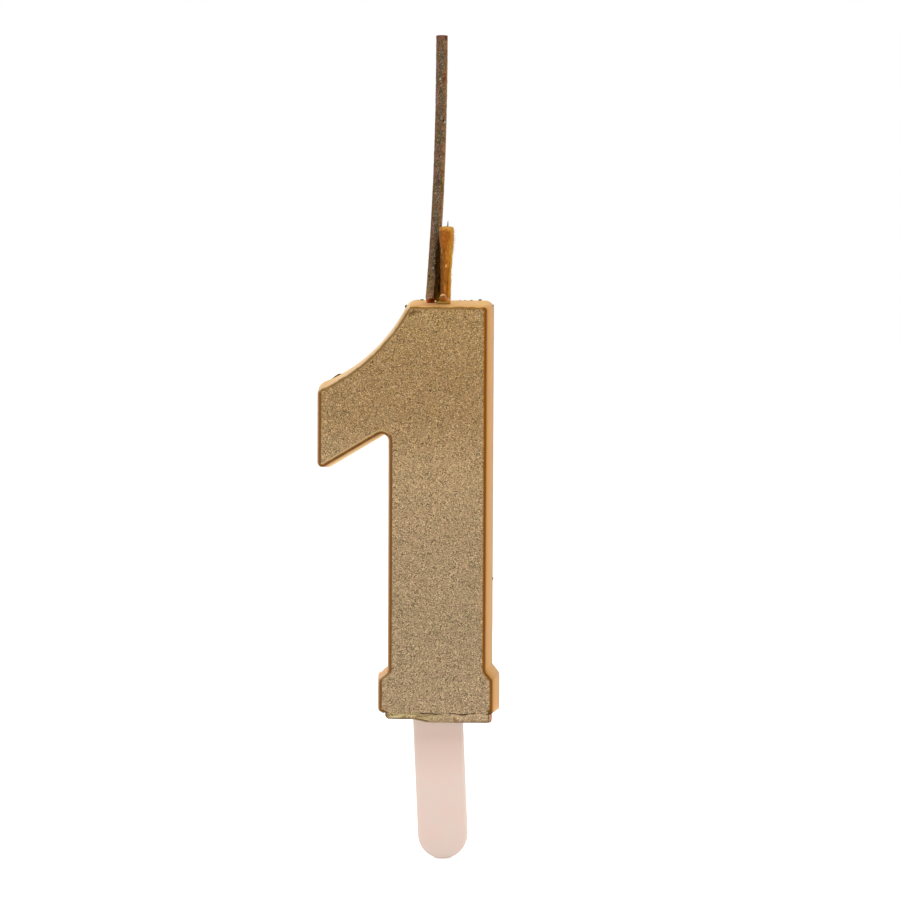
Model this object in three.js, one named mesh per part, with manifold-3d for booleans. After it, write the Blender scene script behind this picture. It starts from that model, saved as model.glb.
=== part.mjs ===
// Cast wax number candle: the numeral 1 on a plastic pick, with a cotton wick and a sparkler fuse.
// Millimetres, +Z up. The numeral's decorated face looks towards -Y and its width runs along X.
// Origin: where the pick's centre line crosses the plane that the candle's underside rests on.

import * as THREE from 'three';
import { mergeVertices } from 'three/addons/utils/BufferGeometryUtils.js';
import Module from 'manifold-3d';

const wasm = await Module();
wasm.setup();

// Numeral, measured on its decorated face
const bodyDepth = 12;
const numeralHeight = 60.9;
const footCentreX = -0.2;
const footWidth = 17.1;
const footHeight = 4.88;
const leftShoulderDrop = 0.38;
const shoulderRise = 1.35;
const stemWidth = 14.55;
const stemOffset = 0.17;
const topEdgeWidth = 11.75;
const flagReach = 10.7;
const flagDrop = 12.6;
const flagEdgeHeight = 12.05;
const flagUndersideAngle = 31;
const flagCurveRadius = 25.85;

// Corner radii: of the outer corners on the flat face, and of the hollow corners at the back edge
const footFaceRadius = 0.1;
const shoulderFaceRadius = 0.3;
const flagFaceRadius = 0.1;
const curveFaceRadius = 0.05;
const topFaceRadius = 0.05;
const shoulderBackRadius = 0.1;
const notchBackRadius = 0.35;

// Mould shape: the side walls lean outwards from the face to the back edge
const draftSpread = 0.67;
const backLand = 0.3;
const faceBevelWidth = 0.55;
const faceBevelDepth = 0.45;
const bevelOverrun = 0.1;
const undersideFall = 0.42;

// Poured seal that closes the foot round the pick
const sealHeight = 1.5;
const sealWidth = 16;
const sealOffset = 0.5;
const sealBackInset = 0.4;
const sealCornerRadius = 0.5;
const sealStepHeight = 0.48;
const sealStepLength = 3.7;
const sealStepSlope = 2;
const plugWidth = 11.5;
const plugDepth = 7;
const plugHeight = 3.5;
const seamGap = 0.1;

// Pick
const pickWidth = 7.5;
const pickThickness = 2;
const pickReach = 21.1;
const pickEmbed = 15;
const pickTilt = 2.6;
const pickEdgeRadius = 0.3;
const slotClearance = 0.3;

// Wick
const wickDiameter = 1.7;
const wickTopDiameter = 2.2;
const wickFlareLength = 4;
const wickRise = 11.8;
const wickOffset = 1.1;
const wickForward = 0.45;
const wickFootWall = 2;
const wickCoreDiameter = 0.25;
const wickCoreRise = 1;
const wickBeadRadius = 0.6;
const wickBeadStandoff = 0.2;
const wickBeadLift = 0.75;
const boreClearance = 0.1;

// Sparkler fuse
const fuseDiameter = 1.74;
const fuseRise = 40.65;
const fuseOffset = -1.3;
const fuseBackward = 2;
const fuseTopShift = 1.53;
const fuseStraightening = 2.2;
const fuseSeatDepth = 1;
const fuseWireDiameter = 0.6;
const fuseWireEmbed = 10;
const fuseWireTopCover = 1.5;
const fuseDropRadius = 0.65;
const fuseDropLift = 0.35;

// Fineness of the round shapes
const filletSteps = 6;
const flagCurveSteps = 16;
const tubeSides = 16;
const wireSides = 8;
const tubeSteps = 20;
const beadSides = 16;
const pickEndSteps = 12;

// Heights and faces that follow from the sizes above
const faceY = -bodyDepth / 2;
const backY = bodyDepth / 2;
const undersideZ = sealHeight;
const cutReach = 2 * (numeralHeight + bodyDepth);
const topZ = undersideZ + numeralHeight;
const tilt = THREE.MathUtils.degToRad(pickTilt);
const pickTurn = new THREE.Matrix4().makeRotationY(-tilt);
const slotTopZ = pickEmbed + slotClearance;
const wickX = footCentreX + wickOffset;
const wickY = -wickForward;
const wickBottomZ = slotTopZ + wickFootWall;
const wickTopZ = topZ + wickRise;
const fuseX = footCentreX + fuseOffset;
const fuseY = fuseBackward;
const fuseTopZ = topZ + fuseRise;
const fuseLean = (fuseTopShift * fuseStraightening) / fuseRise;

// Height of the top wall, which rises from the face to the back edge, at a depth y
function topWallZ(y) {
  return topZ + (draftSpread * (y - faceY)) / (bodyDepth - backLand);
}

// Materials
const goldFace = new THREE.MeshStandardMaterial({ color: 0xa5875e, roughness: 0.55, metalness: 0.6 });
const sealGold = new THREE.MeshStandardMaterial({ color: 0xab9368, roughness: 0.6, metalness: 0.5 });
const pinkPlastic = new THREE.MeshStandardMaterial({ color: 0xe2cbc0, roughness: 0.45, metalness: 0 });
const waxedCotton = new THREE.MeshStandardMaterial({ color: 0xa2642a, roughness: 0.8, metalness: 0 });
const greyStrand = new THREE.MeshStandardMaterial({ color: 0x8d8581, roughness: 0.7, metalness: 0 });
const sparkPaste = new THREE.MeshStandardMaterial({ color: 0x71543c, roughness: 0.75, metalness: 0.1 });
const steelWire = new THREE.MeshStandardMaterial({ color: 0x8f8f8f, roughness: 0.4, metalness: 1 });
const amberWax = new THREE.MeshStandardMaterial({ color: 0xd39a55, roughness: 0.3, metalness: 0 });
const darkResin = new THREE.MeshStandardMaterial({ color: 0x6b2a08, roughness: 0.3, metalness: 0 });

// Closed geometry to solid
function toSolid(geometry) {
  const bare = geometry.index ? geometry.toNonIndexed() : geometry.clone();
  bare.deleteAttribute('normal');
  bare.deleteAttribute('uv');
  const merged = mergeVertices(bare, 1e-5);
  return new wasm.Manifold(new wasm.Mesh({
    numProp: 3,
    vertProperties: new Float32Array(merged.attributes.position.array),
    triVerts: new Uint32Array(merged.index.array),
  }));
}

// Solid back to geometry
function toGeometry(solid) {
  const result = solid.getMesh();
  const geometry = new THREE.BufferGeometry();
  geometry.setAttribute('position', new THREE.BufferAttribute(new Float32Array(result.vertProperties), 3));
  geometry.setIndex(new THREE.BufferAttribute(new Uint32Array(result.triVerts), 1));
  geometry.computeVertexNormals();
  return geometry;
}

function namedMesh(name, geometry, material) {
  const mesh = new THREE.Mesh(geometry, material);
  mesh.name = name;
  return mesh;
}

// Closed outline through corners {x, z, r}: a corner with a radius becomes an arc, the rest stay sharp
function roundedOutline(corners) {
  const points = [];
  corners.forEach((corner, i) => {
    const at = new THREE.Vector2(corner.x, corner.z);
    if (!corner.r) {
      points.push(at);
      return;
    }
    const before = corners[(i + corners.length - 1) % corners.length];
    const after = corners[(i + 1) % corners.length];
    const toBefore = new THREE.Vector2(before.x, before.z).sub(at).normalize();
    const toAfter = new THREE.Vector2(after.x, after.z).sub(at).normalize();
    const halfAngle = Math.acos(toBefore.dot(toAfter)) / 2;
    const inwards = toBefore.clone().add(toAfter).normalize();
    const centre = at.clone().addScaledVector(inwards, corner.r / Math.sin(halfAngle));
    const start = at.clone().addScaledVector(toBefore, corner.r / Math.tan(halfAngle));
    const turn = -Math.sign(toBefore.cross(toAfter)) * (Math.PI - 2 * halfAngle);
    for (let step = 0; step <= filletSteps; step += 1) {
      points.push(start.clone().rotateAround(centre, (turn * step) / filletSteps));
    }
  });
  return points;
}

// Radius at the bevel's outer edge of an outer corner given on the flat face
function outerCorner(faceRadius) {
  return faceRadius + faceBevelWidth;
}

// Radius at the bevel's outer edge of a hollow corner given at the back edge
function hollowCorner(backRadius) {
  return backRadius + draftSpread + bevelOverrun;
}

// Front view outline at the bevel's outer edge; footZ is the height of the foot's lower edge.
// The foot's lower right corner is sharp, and its left shoulder is lower than its right one.
function numeralOutline(footZ) {
  const footLeft = footCentreX - footWidth / 2;
  const footRight = footCentreX + footWidth / 2;
  const shoulderZ = undersideZ + footHeight;
  const leftShoulderZ = shoulderZ - leftShoulderDrop;
  const stemLeft = footCentreX + stemOffset - stemWidth / 2;
  const stemRight = stemLeft + stemWidth;
  const flagLeft = stemLeft - flagReach;
  const flagTop = topZ - flagDrop;
  const flagBottom = flagTop - flagEdgeHeight;
  const notchZ = flagBottom + flagReach * Math.tan(THREE.MathUtils.degToRad(flagUndersideAngle));
  const topLeft = stemRight - topEdgeWidth;
  return roundedOutline([
    { x: footLeft, z: footZ, r: outerCorner(footFaceRadius) },
    { x: footRight, z: footZ, r: 0 },
    { x: footRight, z: shoulderZ, r: outerCorner(shoulderFaceRadius) },
    { x: stemRight, z: shoulderZ + shoulderRise, r: hollowCorner(shoulderBackRadius) },
    { x: stemRight, z: topZ, r: outerCorner(topFaceRadius) },
    { x: topLeft, z: topZ, r: outerCorner(curveFaceRadius) },
    ...flagCurve(topLeft, topZ, flagLeft, flagTop),
    { x: flagLeft, z: flagTop, r: outerCorner(curveFaceRadius) },
    { x: flagLeft, z: flagBottom, r: outerCorner(flagFaceRadius) },
    { x: stemLeft, z: notchZ, r: hollowCorner(notchBackRadius) },
    { x: stemLeft, z: leftShoulderZ + shoulderRise, r: hollowCorner(shoulderBackRadius) },
    { x: footLeft, z: leftShoulderZ, r: outerCorner(shoulderFaceRadius) },
  ]);
}

// Inner points of the flag's hollow upper edge: an arc that sags towards the stem
function flagCurve(startX, startZ, endX, endZ) {
  const chord = new THREE.Vector2(endX - startX, endZ - startZ);
  const middle = new THREE.Vector2(startX + chord.x / 2, startZ + chord.y / 2);
  const outward = new THREE.Vector2(chord.y, -chord.x).normalize();
  const rise = Math.sqrt(flagCurveRadius ** 2 - chord.lengthSq() / 4);
  const centre = middle.addScaledVector(outward, rise);
  const startAngle = Math.atan2(startZ - centre.y, startX - centre.x);
  const endAngle = Math.atan2(endZ - centre.y, endX - centre.x);
  const points = [];
  for (let step = 1; step < flagCurveSteps; step += 1) {
    const angle = startAngle + ((endAngle - startAngle) * step) / flagCurveSteps;
    points.push({
      x: centre.x + flagCurveRadius * Math.cos(angle),
      z: centre.y + flagCurveRadius * Math.sin(angle),
      r: 0,
    });
  }
  return points;
}

// Extrudes a front view outline along Y, so that its middle lies at middleY
function extrudeAlongY(outline, options, middleY) {
  const geometry = new THREE.ExtrudeGeometry(new THREE.Shape(outline), options);
  geometry.translate(0, 0, -options.depth / 2);
  geometry.rotateX(Math.PI / 2);
  geometry.translate(0, middleY, 0);
  return geometry;
}

// Block between two corners
function block(low, high) {
  const geometry = new THREE.BoxGeometry(high[0] - low[0], high[1] - low[1], high[2] - low[2]);
  geometry.translate((low[0] + high[0]) / 2, (low[1] + high[1]) / 2, (low[2] + high[2]) / 2);
  return toSolid(geometry);
}

// Everything below the foot's sloping underside, lowered by gap
function belowUnderside(gap) {
  const fallPerDepth = undersideFall / bodyDepth;
  const sideView = new THREE.Shape([
    new THREE.Vector2(-cutReach, undersideZ - gap - fallPerDepth * (-cutReach - faceY)),
    new THREE.Vector2(-cutReach, -cutReach),
    new THREE.Vector2(cutReach, -cutReach),
    new THREE.Vector2(cutReach, undersideZ - gap - fallPerDepth * (cutReach - faceY)),
  ]);
  const geometry = new THREE.ExtrudeGeometry(sideView, { depth: cutReach, bevelEnabled: false });
  geometry.translate(0, 0, -cutReach / 2);
  geometry.rotateX(Math.PI / 2);
  geometry.rotateZ(Math.PI / 2);
  return toSolid(geometry);
}

// Upright cylinder
function uprightCylinder(x, y, bottomZ, height, diameter, sides) {
  const geometry = new THREE.CylinderGeometry(diameter / 2, diameter / 2, height, sides);
  geometry.rotateX(Math.PI / 2);
  geometry.translate(x, y, bottomZ + height / 2);
  return toSolid(geometry);
}

// Pick's front view outline, grown by margin, with both ends fully round
function pickOutline(margin) {
  const radius = pickWidth / 2 + margin;
  const shape = new THREE.Shape();
  const upperCentreZ = pickEmbed - pickWidth / 2;
  const lowerCentreZ = pickWidth / 2 - pickReach;
  shape.absarc(0, upperCentreZ, radius, 0, Math.PI, false);
  shape.absarc(0, lowerCentreZ, radius, Math.PI, 2 * Math.PI, false);
  return shape.getPoints(pickEndSteps);
}

// Room for the pick, in the place and tilt of the pick
function pickSlot() {
  const options = { depth: pickThickness + 2 * slotClearance, bevelEnabled: false };
  const geometry = extrudeAlongY(pickOutline(slotClearance), options, 0);
  geometry.applyMatrix4(pickTurn);
  return toSolid(geometry);
}

// Plug of the seal inside the foot, grown by margin
function sealPlug(margin) {
  const halfWidth = plugWidth / 2 + margin;
  const halfDepth = plugDepth / 2 + margin;
  return block(
    [-halfWidth, -halfDepth, sealStepHeight],
    [halfWidth, halfDepth, undersideZ + plugHeight + margin],
  );
}

// Centre of the fuse at height z: straight in the wax, then bending upright
function fuseCentre(z) {
  if (z < topZ) {
    return new THREE.Vector3(fuseX + fuseLean * (z - topZ), fuseY, z);
  }
  const leftToGo = Math.max(0, (fuseTopZ - z) / fuseRise);
  const shift = fuseTopShift * (1 - leftToGo ** fuseStraightening);
  return new THREE.Vector3(fuseX + shift, fuseY, z);
}

// Round rod along the fuse's centre line
function fuseRod(bottomZ, upperZ, diameter, sides) {
  const centres = [];
  for (let step = 0; step <= tubeSteps; step += 1) {
    centres.push(fuseCentre(bottomZ + ((upperZ - bottomZ) * step) / tubeSteps));
  }
  const section = new THREE.Shape();
  section.absarc(0, 0, diameter / 2, 0, 2 * Math.PI, false);
  const sectionPoints = section.getPoints(sides / 2).slice(0, -1);
  const geometry = new THREE.ExtrudeGeometry(new THREE.Shape(sectionPoints), {
    steps: tubeSteps,
    extrudePath: new THREE.CatmullRomCurve3(centres),
    bevelEnabled: false,
  });
  return toSolid(geometry);
}

function numberBody() {
  const drafted = extrudeAlongY(numeralOutline(undersideZ), {
    depth: 2 * backLand,
    bevelThickness: bodyDepth - backLand,
    bevelSize: draftSpread,
    bevelSegments: 1,
  }, backY);
  const behindBack = block([-cutReach, backY, -cutReach], [cutReach, cutReach, cutReach]);
  const bevelReach = faceBevelWidth + draftSpread + bevelOverrun;
  const bevelRun = (bevelReach * faceBevelDepth) / faceBevelWidth;
  const bevelled = extrudeAlongY(numeralOutline(undersideZ - bodyDepth), {
    depth: 2 * bodyDepth - 2 * bevelRun,
    bevelThickness: bevelRun,
    bevelSize: bevelReach,
    bevelOffset: -faceBevelWidth,
    bevelSegments: 1,
  }, faceY + bodyDepth);
  const wickBore = uprightCylinder(
    wickX, wickY, wickBottomZ - boreClearance, wickTopZ - wickBottomZ,
    wickDiameter + 2 * boreClearance, tubeSides,
  );
  const fuseSeat = fuseRod(
    topZ - fuseSeatDepth - boreClearance, fuseTopZ, fuseDiameter + 2 * boreClearance, tubeSides,
  );
  const wireBore = fuseRod(
    topZ - fuseWireEmbed - boreClearance, fuseTopZ, fuseWireDiameter + 2 * boreClearance, wireSides,
  );
  return toSolid(drafted)
    .subtract(behindBack)
    .intersect(toSolid(bevelled))
    .subtract(belowUnderside(0))
    .subtract(sealPlug(seamGap))
    .subtract(pickSlot())
    .subtract(wickBore)
    .subtract(fuseSeat)
    .subtract(wireBore);
}

function footSeal() {
  const left = footCentreX + sealOffset - sealWidth / 2;
  const right = left + sealWidth;
  const outline = roundedOutline([
    { x: left, z: sealStepHeight, r: sealStepHeight / 2 },
    { x: left + sealStepLength, z: sealStepHeight, r: 0 },
    { x: left + sealStepLength + sealStepSlope, z: 0, r: 0 },
    { x: right, z: 0, r: sealCornerRadius },
    { x: right, z: 2 * sealHeight, r: 0 },
    { x: left, z: 2 * sealHeight, r: 0 },
  ]);
  const depth = bodyDepth - sealBackInset;
  const lip = toSolid(extrudeAlongY(outline, { depth, bevelEnabled: false }, faceY + depth / 2));
  return lip
    .intersect(belowUnderside(seamGap))
    .add(sealPlug(0))
    .subtract(pickSlot());
}

function pick() {
  const geometry = extrudeAlongY(pickOutline(0), {
    depth: pickThickness - 2 * pickEdgeRadius,
    bevelThickness: pickEdgeRadius,
    bevelSize: pickEdgeRadius,
    bevelOffset: -pickEdgeRadius,
    bevelSegments: 2,
  }, 0);
  return toSolid(geometry);
}

// Cotton wick with its core channel: a lathe profile that closes on itself
function wickBraid() {
  const inner = wickCoreDiameter / 2 + boreClearance;
  const outer = wickDiameter / 2;
  const topOuter = wickTopDiameter / 2;
  const profile = [
    new THREE.Vector2(inner, wickBottomZ),
    new THREE.Vector2(outer, wickBottomZ),
    new THREE.Vector2(outer, wickTopZ - wickFlareLength),
    new THREE.Vector2(topOuter, wickTopZ - wickFlareLength / 2),
    new THREE.Vector2(topOuter, wickTopZ),
    new THREE.Vector2(inner, wickTopZ),
    new THREE.Vector2(inner, wickBottomZ),
  ];
  const geometry = new THREE.LatheGeometry(profile, tubeSides);
  geometry.rotateX(Math.PI / 2);
  geometry.translate(wickX, wickY, 0);
  return toSolid(geometry);
}

function wickCore() {
  const height = wickTopZ + wickCoreRise - wickBottomZ;
  return uprightCylinder(wickX, wickY, wickBottomZ, height, wickCoreDiameter, wireSides);
}

// Wax bead that stuck to the front of the wick's foot
function wickBead() {
  const sphere = new THREE.SphereGeometry(wickBeadRadius, beadSides, beadSides / 2);
  sphere.rotateX(Math.PI / 2);
  const beadY = wickY - wickDiameter / 2 - wickBeadStandoff;
  const beadZ = topWallZ(beadY) + wickBeadLift;
  sphere.translate(wickX, beadY, beadZ);
  const room = uprightCylinder(
    wickX, wickY, wickBottomZ, wickTopZ - wickBottomZ, wickDiameter + 2 * boreClearance, tubeSides,
  );
  return toSolid(sphere).subtract(room);
}

// Resin drop that glues the fuse's foot to the wax, cut off above the top wall
function fuseDrop() {
  const sphere = new THREE.SphereGeometry(fuseDropRadius, beadSides, beadSides / 2);
  sphere.rotateX(Math.PI / 2);
  const dropY = fuseY - fuseDiameter / 2;
  const dropZ = topWallZ(dropY) + fuseDropLift;
  sphere.translate(fuseX, dropY, dropZ);
  const floorTop = topWallZ(fuseY) + boreClearance;
  const floor = block([-cutReach, -cutReach, -cutReach], [cutReach, cutReach, floorTop]);
  const room = fuseRod(topZ - fuseSeatDepth, fuseTopZ, fuseDiameter + 2 * boreClearance, tubeSides);
  return toSolid(sphere).subtract(room).subtract(floor);
}

function sparklerFuse() {
  const coating = fuseRod(topZ - fuseSeatDepth, fuseTopZ, fuseDiameter, tubeSides);
  const channel = fuseRod(
    topZ - fuseWireEmbed, fuseTopZ - fuseWireTopCover, fuseWireDiameter + 2 * boreClearance, wireSides,
  );
  return coating.subtract(channel);
}

function fuseWire() {
  const top = fuseTopZ - fuseWireTopCover - boreClearance;
  return fuseRod(topZ - fuseWireEmbed, top, fuseWireDiameter, wireSides);
}

const candle = new THREE.Group();
candle.add(
  namedMesh('number_body', toGeometry(numberBody()), goldFace),
  namedMesh('foot_seal', toGeometry(footSeal()), sealGold),
  namedMesh('wick', toGeometry(wickBraid()), waxedCotton),
  namedMesh('wick_core', toGeometry(wickCore()), greyStrand),
  namedMesh('wick_bead', toGeometry(wickBead()), amberWax),
  namedMesh('sparkler_fuse', toGeometry(sparklerFuse()), sparkPaste),
  namedMesh('fuse_wire', toGeometry(fuseWire()), steelWire),
  namedMesh('fuse_drop', toGeometry(fuseDrop()), darkResin),
);

const pickMesh = namedMesh('pick', toGeometry(pick()), pinkPlastic);
const pickGroup = new THREE.Group();
pickGroup.rotation.y = -tilt;
pickGroup.add(pickMesh);

const numberCandle = new THREE.Group();
numberCandle.add(candle, pickGroup);

export default numberCandle;
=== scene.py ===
"""Number candle: a gold cast numeral on a pale pick, with a cotton wick and a sparkler fuse."""
import math
import random

import bmesh
import bpy
from mathutils import Matrix, Vector, noise


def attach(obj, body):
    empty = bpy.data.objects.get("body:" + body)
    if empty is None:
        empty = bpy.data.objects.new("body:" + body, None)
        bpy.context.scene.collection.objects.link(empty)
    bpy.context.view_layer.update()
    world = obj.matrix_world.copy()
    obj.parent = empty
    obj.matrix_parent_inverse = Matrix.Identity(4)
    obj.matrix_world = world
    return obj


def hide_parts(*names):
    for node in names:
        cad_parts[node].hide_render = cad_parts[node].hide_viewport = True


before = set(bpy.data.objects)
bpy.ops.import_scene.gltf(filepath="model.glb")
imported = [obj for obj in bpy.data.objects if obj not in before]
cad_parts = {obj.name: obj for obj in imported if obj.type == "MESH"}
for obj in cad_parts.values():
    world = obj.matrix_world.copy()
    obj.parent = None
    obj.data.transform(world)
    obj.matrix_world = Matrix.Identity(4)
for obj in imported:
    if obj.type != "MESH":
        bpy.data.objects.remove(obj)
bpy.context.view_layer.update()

# Sizes in millimetres, as in the frame
MM = 0.001
FACE_Y = -6.0
BACK_Y = 6.0
UNDERSIDE_Z = 1.5
UNDERSIDE_FALL = 0.035
TOP_Z = 62.4
FOOT_LEFT_X = -8.75
FOOT_RIGHT_X = 8.35
SHOULDER_Z = 6.38
LEFT_SHOULDER_Z = 6.6
SHOULDER_RISE = 1.35
LEFT_SHOULDER_RISE = 1.0
STEM_LEFT_X = -7.305
STEM_RIGHT_X = 7.245
FLAG_LEFT_X = -18.005
FLAG_TOP_Z = 49.8
FLAG_BOTTOM_Z = 37.75
NOTCH_Z = 44.18
TOP_LEFT_X = -4.45
FLAG_CURVE_RADIUS = 28.2
FLAG_CURVE_STEPS = 24
FOOT_CORNER = 0.65
SHOULDER_CORNER = 0.85
LEFT_SHOULDER_CORNER = 1.3
SHOULDER_HOLLOW = 0.87
TOP_CORNER = 0.66
CURVE_CORNER = 0.95
FLAG_CORNER = 0.7
NOTCH_HOLLOW = 1.12
BEVEL_WIDTH = 0.58
BEVEL_DEPTH = 0.45
BEVEL_STEPS = 6
BEVEL_OVERLAP = 0.02
FACE_MARGIN = 0.07
BACK_MARGIN = 0.1
DRAFT_SPREAD = 0.67
CURVE_UPRIGHTNESS = 0.33
SHOULDER_UPRIGHTNESS = 0.65
BACK_LAND = 0.3
BACK_EDGE_RADIUS = 0.12
BACK_EDGE_STEPS = 3
WALL_RINGS = 11
OUTLINE_SPACING = 0.9
CORNER_STEPS = 7
WALL_UNEVENNESS = 0.015
CORNER_NEARNESS = 0.1

LIP_LEFT_X = -7.7
LIP_RIGHT_X = 8.38
LIP_STATIONS = 120
LIP_END = 0.25
LIP_BACK_Y = 5.6

PICK_RADIUS = 3.75
PICK_HALF_THICKNESS = 1.0
PICK_REACH = 21.1
PICK_EMBED = 15.0
PICK_EDGE_RADIUS = 0.3
PICK_EDGE_STEPS = 4
PICK_END_STEPS = 32
SLOT_END_STEPS = 24
PICK_TILT = math.radians(2.6)
SLOT_CLEARANCE = 0.3

WICK_Y = -0.45
WICK_FOOT_X = 0.83
WICK_TOP_X = 0.96
WICK_START_Z = 61.4
WICK_TOP_Z = 74.2
STRANDS = 3
STRAND_PITCH = 70.0
STRAND_START = 3.9
STRAND_ROWS = 110
STRAND_HALF_STEPS = 9
PLIES = 13
PLY_PITCH = 19.0
CAP_SIDES = 40
CAP_REACH = 2.8
CORE_RADIUS = 0.125
CORE_RISE = 0.98
CORE_ROWS = 24
SIDE_FIBRES = 300
TOP_FIBRES = 90

FUSE_X = -1.5
FUSE_Y = 2.0
FUSE_RADIUS = 0.87
FUSE_RISE = 40.65
FUSE_SHIFT = 1.53
FUSE_STRAIGHTENING = 2.2
FUSE_START_Z = 61.5
FUSE_SIDES = 36
FUSE_ROWS = 300
STAIN_X = -1.3

# Camera, from the photograph's perspective: millimetres and degrees
CAMERA_EYE = (41.66, -854.59, 83.88)
CAMERA_AZIMUTH = 2.683
CAMERA_ELEVATION = 2.892
CAMERA_ROLL = 0.26
CAMERA_LENS = 227.48

# Light round the object and the floor's own glow; the floor's reach to the sides and the front, and behind
AMBIENT = 0.62
FLOOR_GLOW = 0.5
FLOOR_REACH = 1500
FLOOR_REACH_BEHIND = 2500

# Shallow creases on the lip's front and the line along its foot, drawn dark as painted shade, (x, z) at
# even steps of x
UPPER_CREASE = [(-3.3, 0.8), (-2.6, 0.96), (-1.8, 1.0), (-1.0, 1.04), (-0.2, 0.98)]
LOWER_CREASE = [(-3.4, 0.62), (-2.85, 0.58), (-2.3, 0.46), (-1.75, 0.32), (-1.2, 0.24)]
LOWER_LINE = [(-7.5, 0.52), (-6.2, 0.5), (-4.9, 0.5), (-3.6, 0.52)]


def srgb(red, green, blue):
    """Linear colour of an 8-bit screen colour."""
    def linear(value):
        value /= 255
        return value / 12.92 if value <= 0.04045 else ((value + 0.055) / 1.055) ** 2.4
    return (linear(red), linear(green), linear(blue), 1.0)


# Colours of the marks on the fuse
MAUVE = (142, 106, 94)
GREY_GREEN = (96, 92, 70)
OLIVE = (90, 80, 28)
PLUM = (90, 68, 66)
RED_BROWN = (124, 66, 36)
CHAR = (52, 18, 0)
PALE_GREY = (196, 184, 164)

# Marks on the fuse: (x, z) place, reach to either side and up and down, colour and strength
FUSE_MARKS = [
    ((0.02, 98.96), (0.24, 1.9), GREY_GREEN, 0.85),
    ((-0.61, 98.84), (0.26, 1.2), MAUVE, 0.7),
    ((-0.6, 93.3), (0.28, 1.9), MAUVE, 0.75),
    ((0.43, 96.75), (0.28, 1.0), RED_BROWN, 0.8),
    ((0.76, 102.66), (0.34, 0.55), CHAR, 0.95),
    ((-1.7, 66.8), (0.24, 0.3), CHAR, 0.7),
    ((0.29, 90.32), (0.2, 0.34), CHAR, 0.95),
    ((0.56, 89.95), (0.17, 0.26), PALE_GREY, 0.8),
    ((-0.17, 96.4), (0.14, 0.18), PALE_GREY, 0.8),
    ((-0.45, 80.8), (0.28, 2.1), PLUM, 0.75),
    ((0.05, 80.9), (0.22, 1.7), OLIVE, 0.8),
    ((-0.31, 84.0), (0.18, 0.6), GREY_GREEN, 0.7),
    ((-0.61, 74.7), (0.38, 2.7), GREY_GREEN, 0.75),
    ((-1.13, 74.2), (0.24, 1.1), MAUVE, 0.7),
    ((-1.07, 68.0), (0.16, 0.22), PALE_GREY, 0.8),
    ((-1.64, 65.6), (0.36, 1.5), OLIVE, 0.35),
]

# Painted highlights and darker places on the wick under its cap, in the same form
WICK_HIGHLIGHTS_AND_MARKS = [
    ((0.6, 70.7), (0.26, 0.55), (112, 70, 20), 0.6),
    ((0.27, 70.7), (0.15, 0.6), (204, 142, 84), 0.6),
    ((0.98, 70.0), (0.13, 0.9), (206, 138, 60), 0.35),
    ((0.96, 68.4), (0.16, 0.3), (244, 186, 118), 0.75),
    ((1.15, 66.6), (0.1, 1.6), (118, 78, 10), 0.5),
    ((0.8, 64.9), (0.14, 0.9), (206, 126, 58), 0.5),
]


def smooth_step(low, high, value):
    """0 up to low, 1 from high on, and a soft rise between."""
    share = min(1.0, max(0.0, (value - low) / (high - low)))
    return share * share * (3 - 2 * share)


def between(table, value):
    """Value of a piecewise linear table of (place, value) pairs."""
    if value <= table[0][0]:
        return table[0][1]
    for (low, first), (high, second) in zip(table, table[1:]):
        if value <= high:
            return first + (second - first) * (value - low) / (high - low)
    return table[-1][1]


def lump(x, y, z, scale, seed=0.0):
    """Smooth noise from -1 to 1 at a place in millimetres; scale is its lumps per millimetre."""
    return noise.noise(Vector((x * scale + seed, y * scale - seed, z * scale + 2 * seed)))


class Value:
    """A number or colour that a node gives, with plain arithmetic."""

    def __init__(self, nodes, socket):
        self.nodes = nodes
        self.socket = socket

    def __add__(self, other):
        return self.nodes.math("ADD", self, other)

    def __sub__(self, other):
        return self.nodes.math("SUBTRACT", self, other)

    def __rsub__(self, other):
        return self.nodes.math("SUBTRACT", other, self)

    def __mul__(self, other):
        return self.nodes.math("MULTIPLY", self, other)

    def __truediv__(self, other):
        return self.nodes.math("DIVIDE", self, other)

    def __abs__(self):
        return self.nodes.math("ABSOLUTE", self)

    def at_least(self, other):
        return self.nodes.math("MAXIMUM", self, other)

    def remap(self, low, high, to_low=0.0, to_high=1.0, smooth=False):
        """The value with low to high carried to to_low to to_high, and held there outside."""
        numbers = dict(enumerate((self, low, high, to_low, to_high)))
        ease = "SMOOTHSTEP" if smooth else "LINEAR"
        return self.nodes.wire("ShaderNodeMapRange", numbers, interpolation_type=ease)


class Nodes:
    """A node tree that grows call by call."""

    def __init__(self, tree):
        self.tree = tree

    def put(self, value, socket):
        """Links a value, or writes a plain one, into a socket; a plain colour is an 8-bit screen colour."""
        if isinstance(value, Value):
            self.tree.links.new(value.socket, socket)
        elif socket.type == "RGBA":
            socket.default_value = srgb(*value)
        else:
            socket.default_value = value

    def wire(self, kind, inputs, output=0, **settings):
        """An output of a new node, whose inputs are given by name or number."""
        made = self.tree.nodes.new(kind)
        for key, value in settings.items():
            setattr(made, key, value)
        for key, value in inputs.items():
            self.put(value, made.inputs[key])
        return Value(self, made.outputs[output])

    def outputs(self, kind, value=None):
        """All outputs of a new node, by name, with a value in its first input."""
        made = self.tree.nodes.new(kind)
        if value:
            self.put(value, made.inputs[0])
        return {output.name: Value(self, output) for output in made.outputs}

    def math(self, operation, first, second=0.0, clamp=False):
        sockets = {0: first, 1: second}
        return self.wire("ShaderNodeMath", sockets, operation=operation, use_clamp=clamp)


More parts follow.
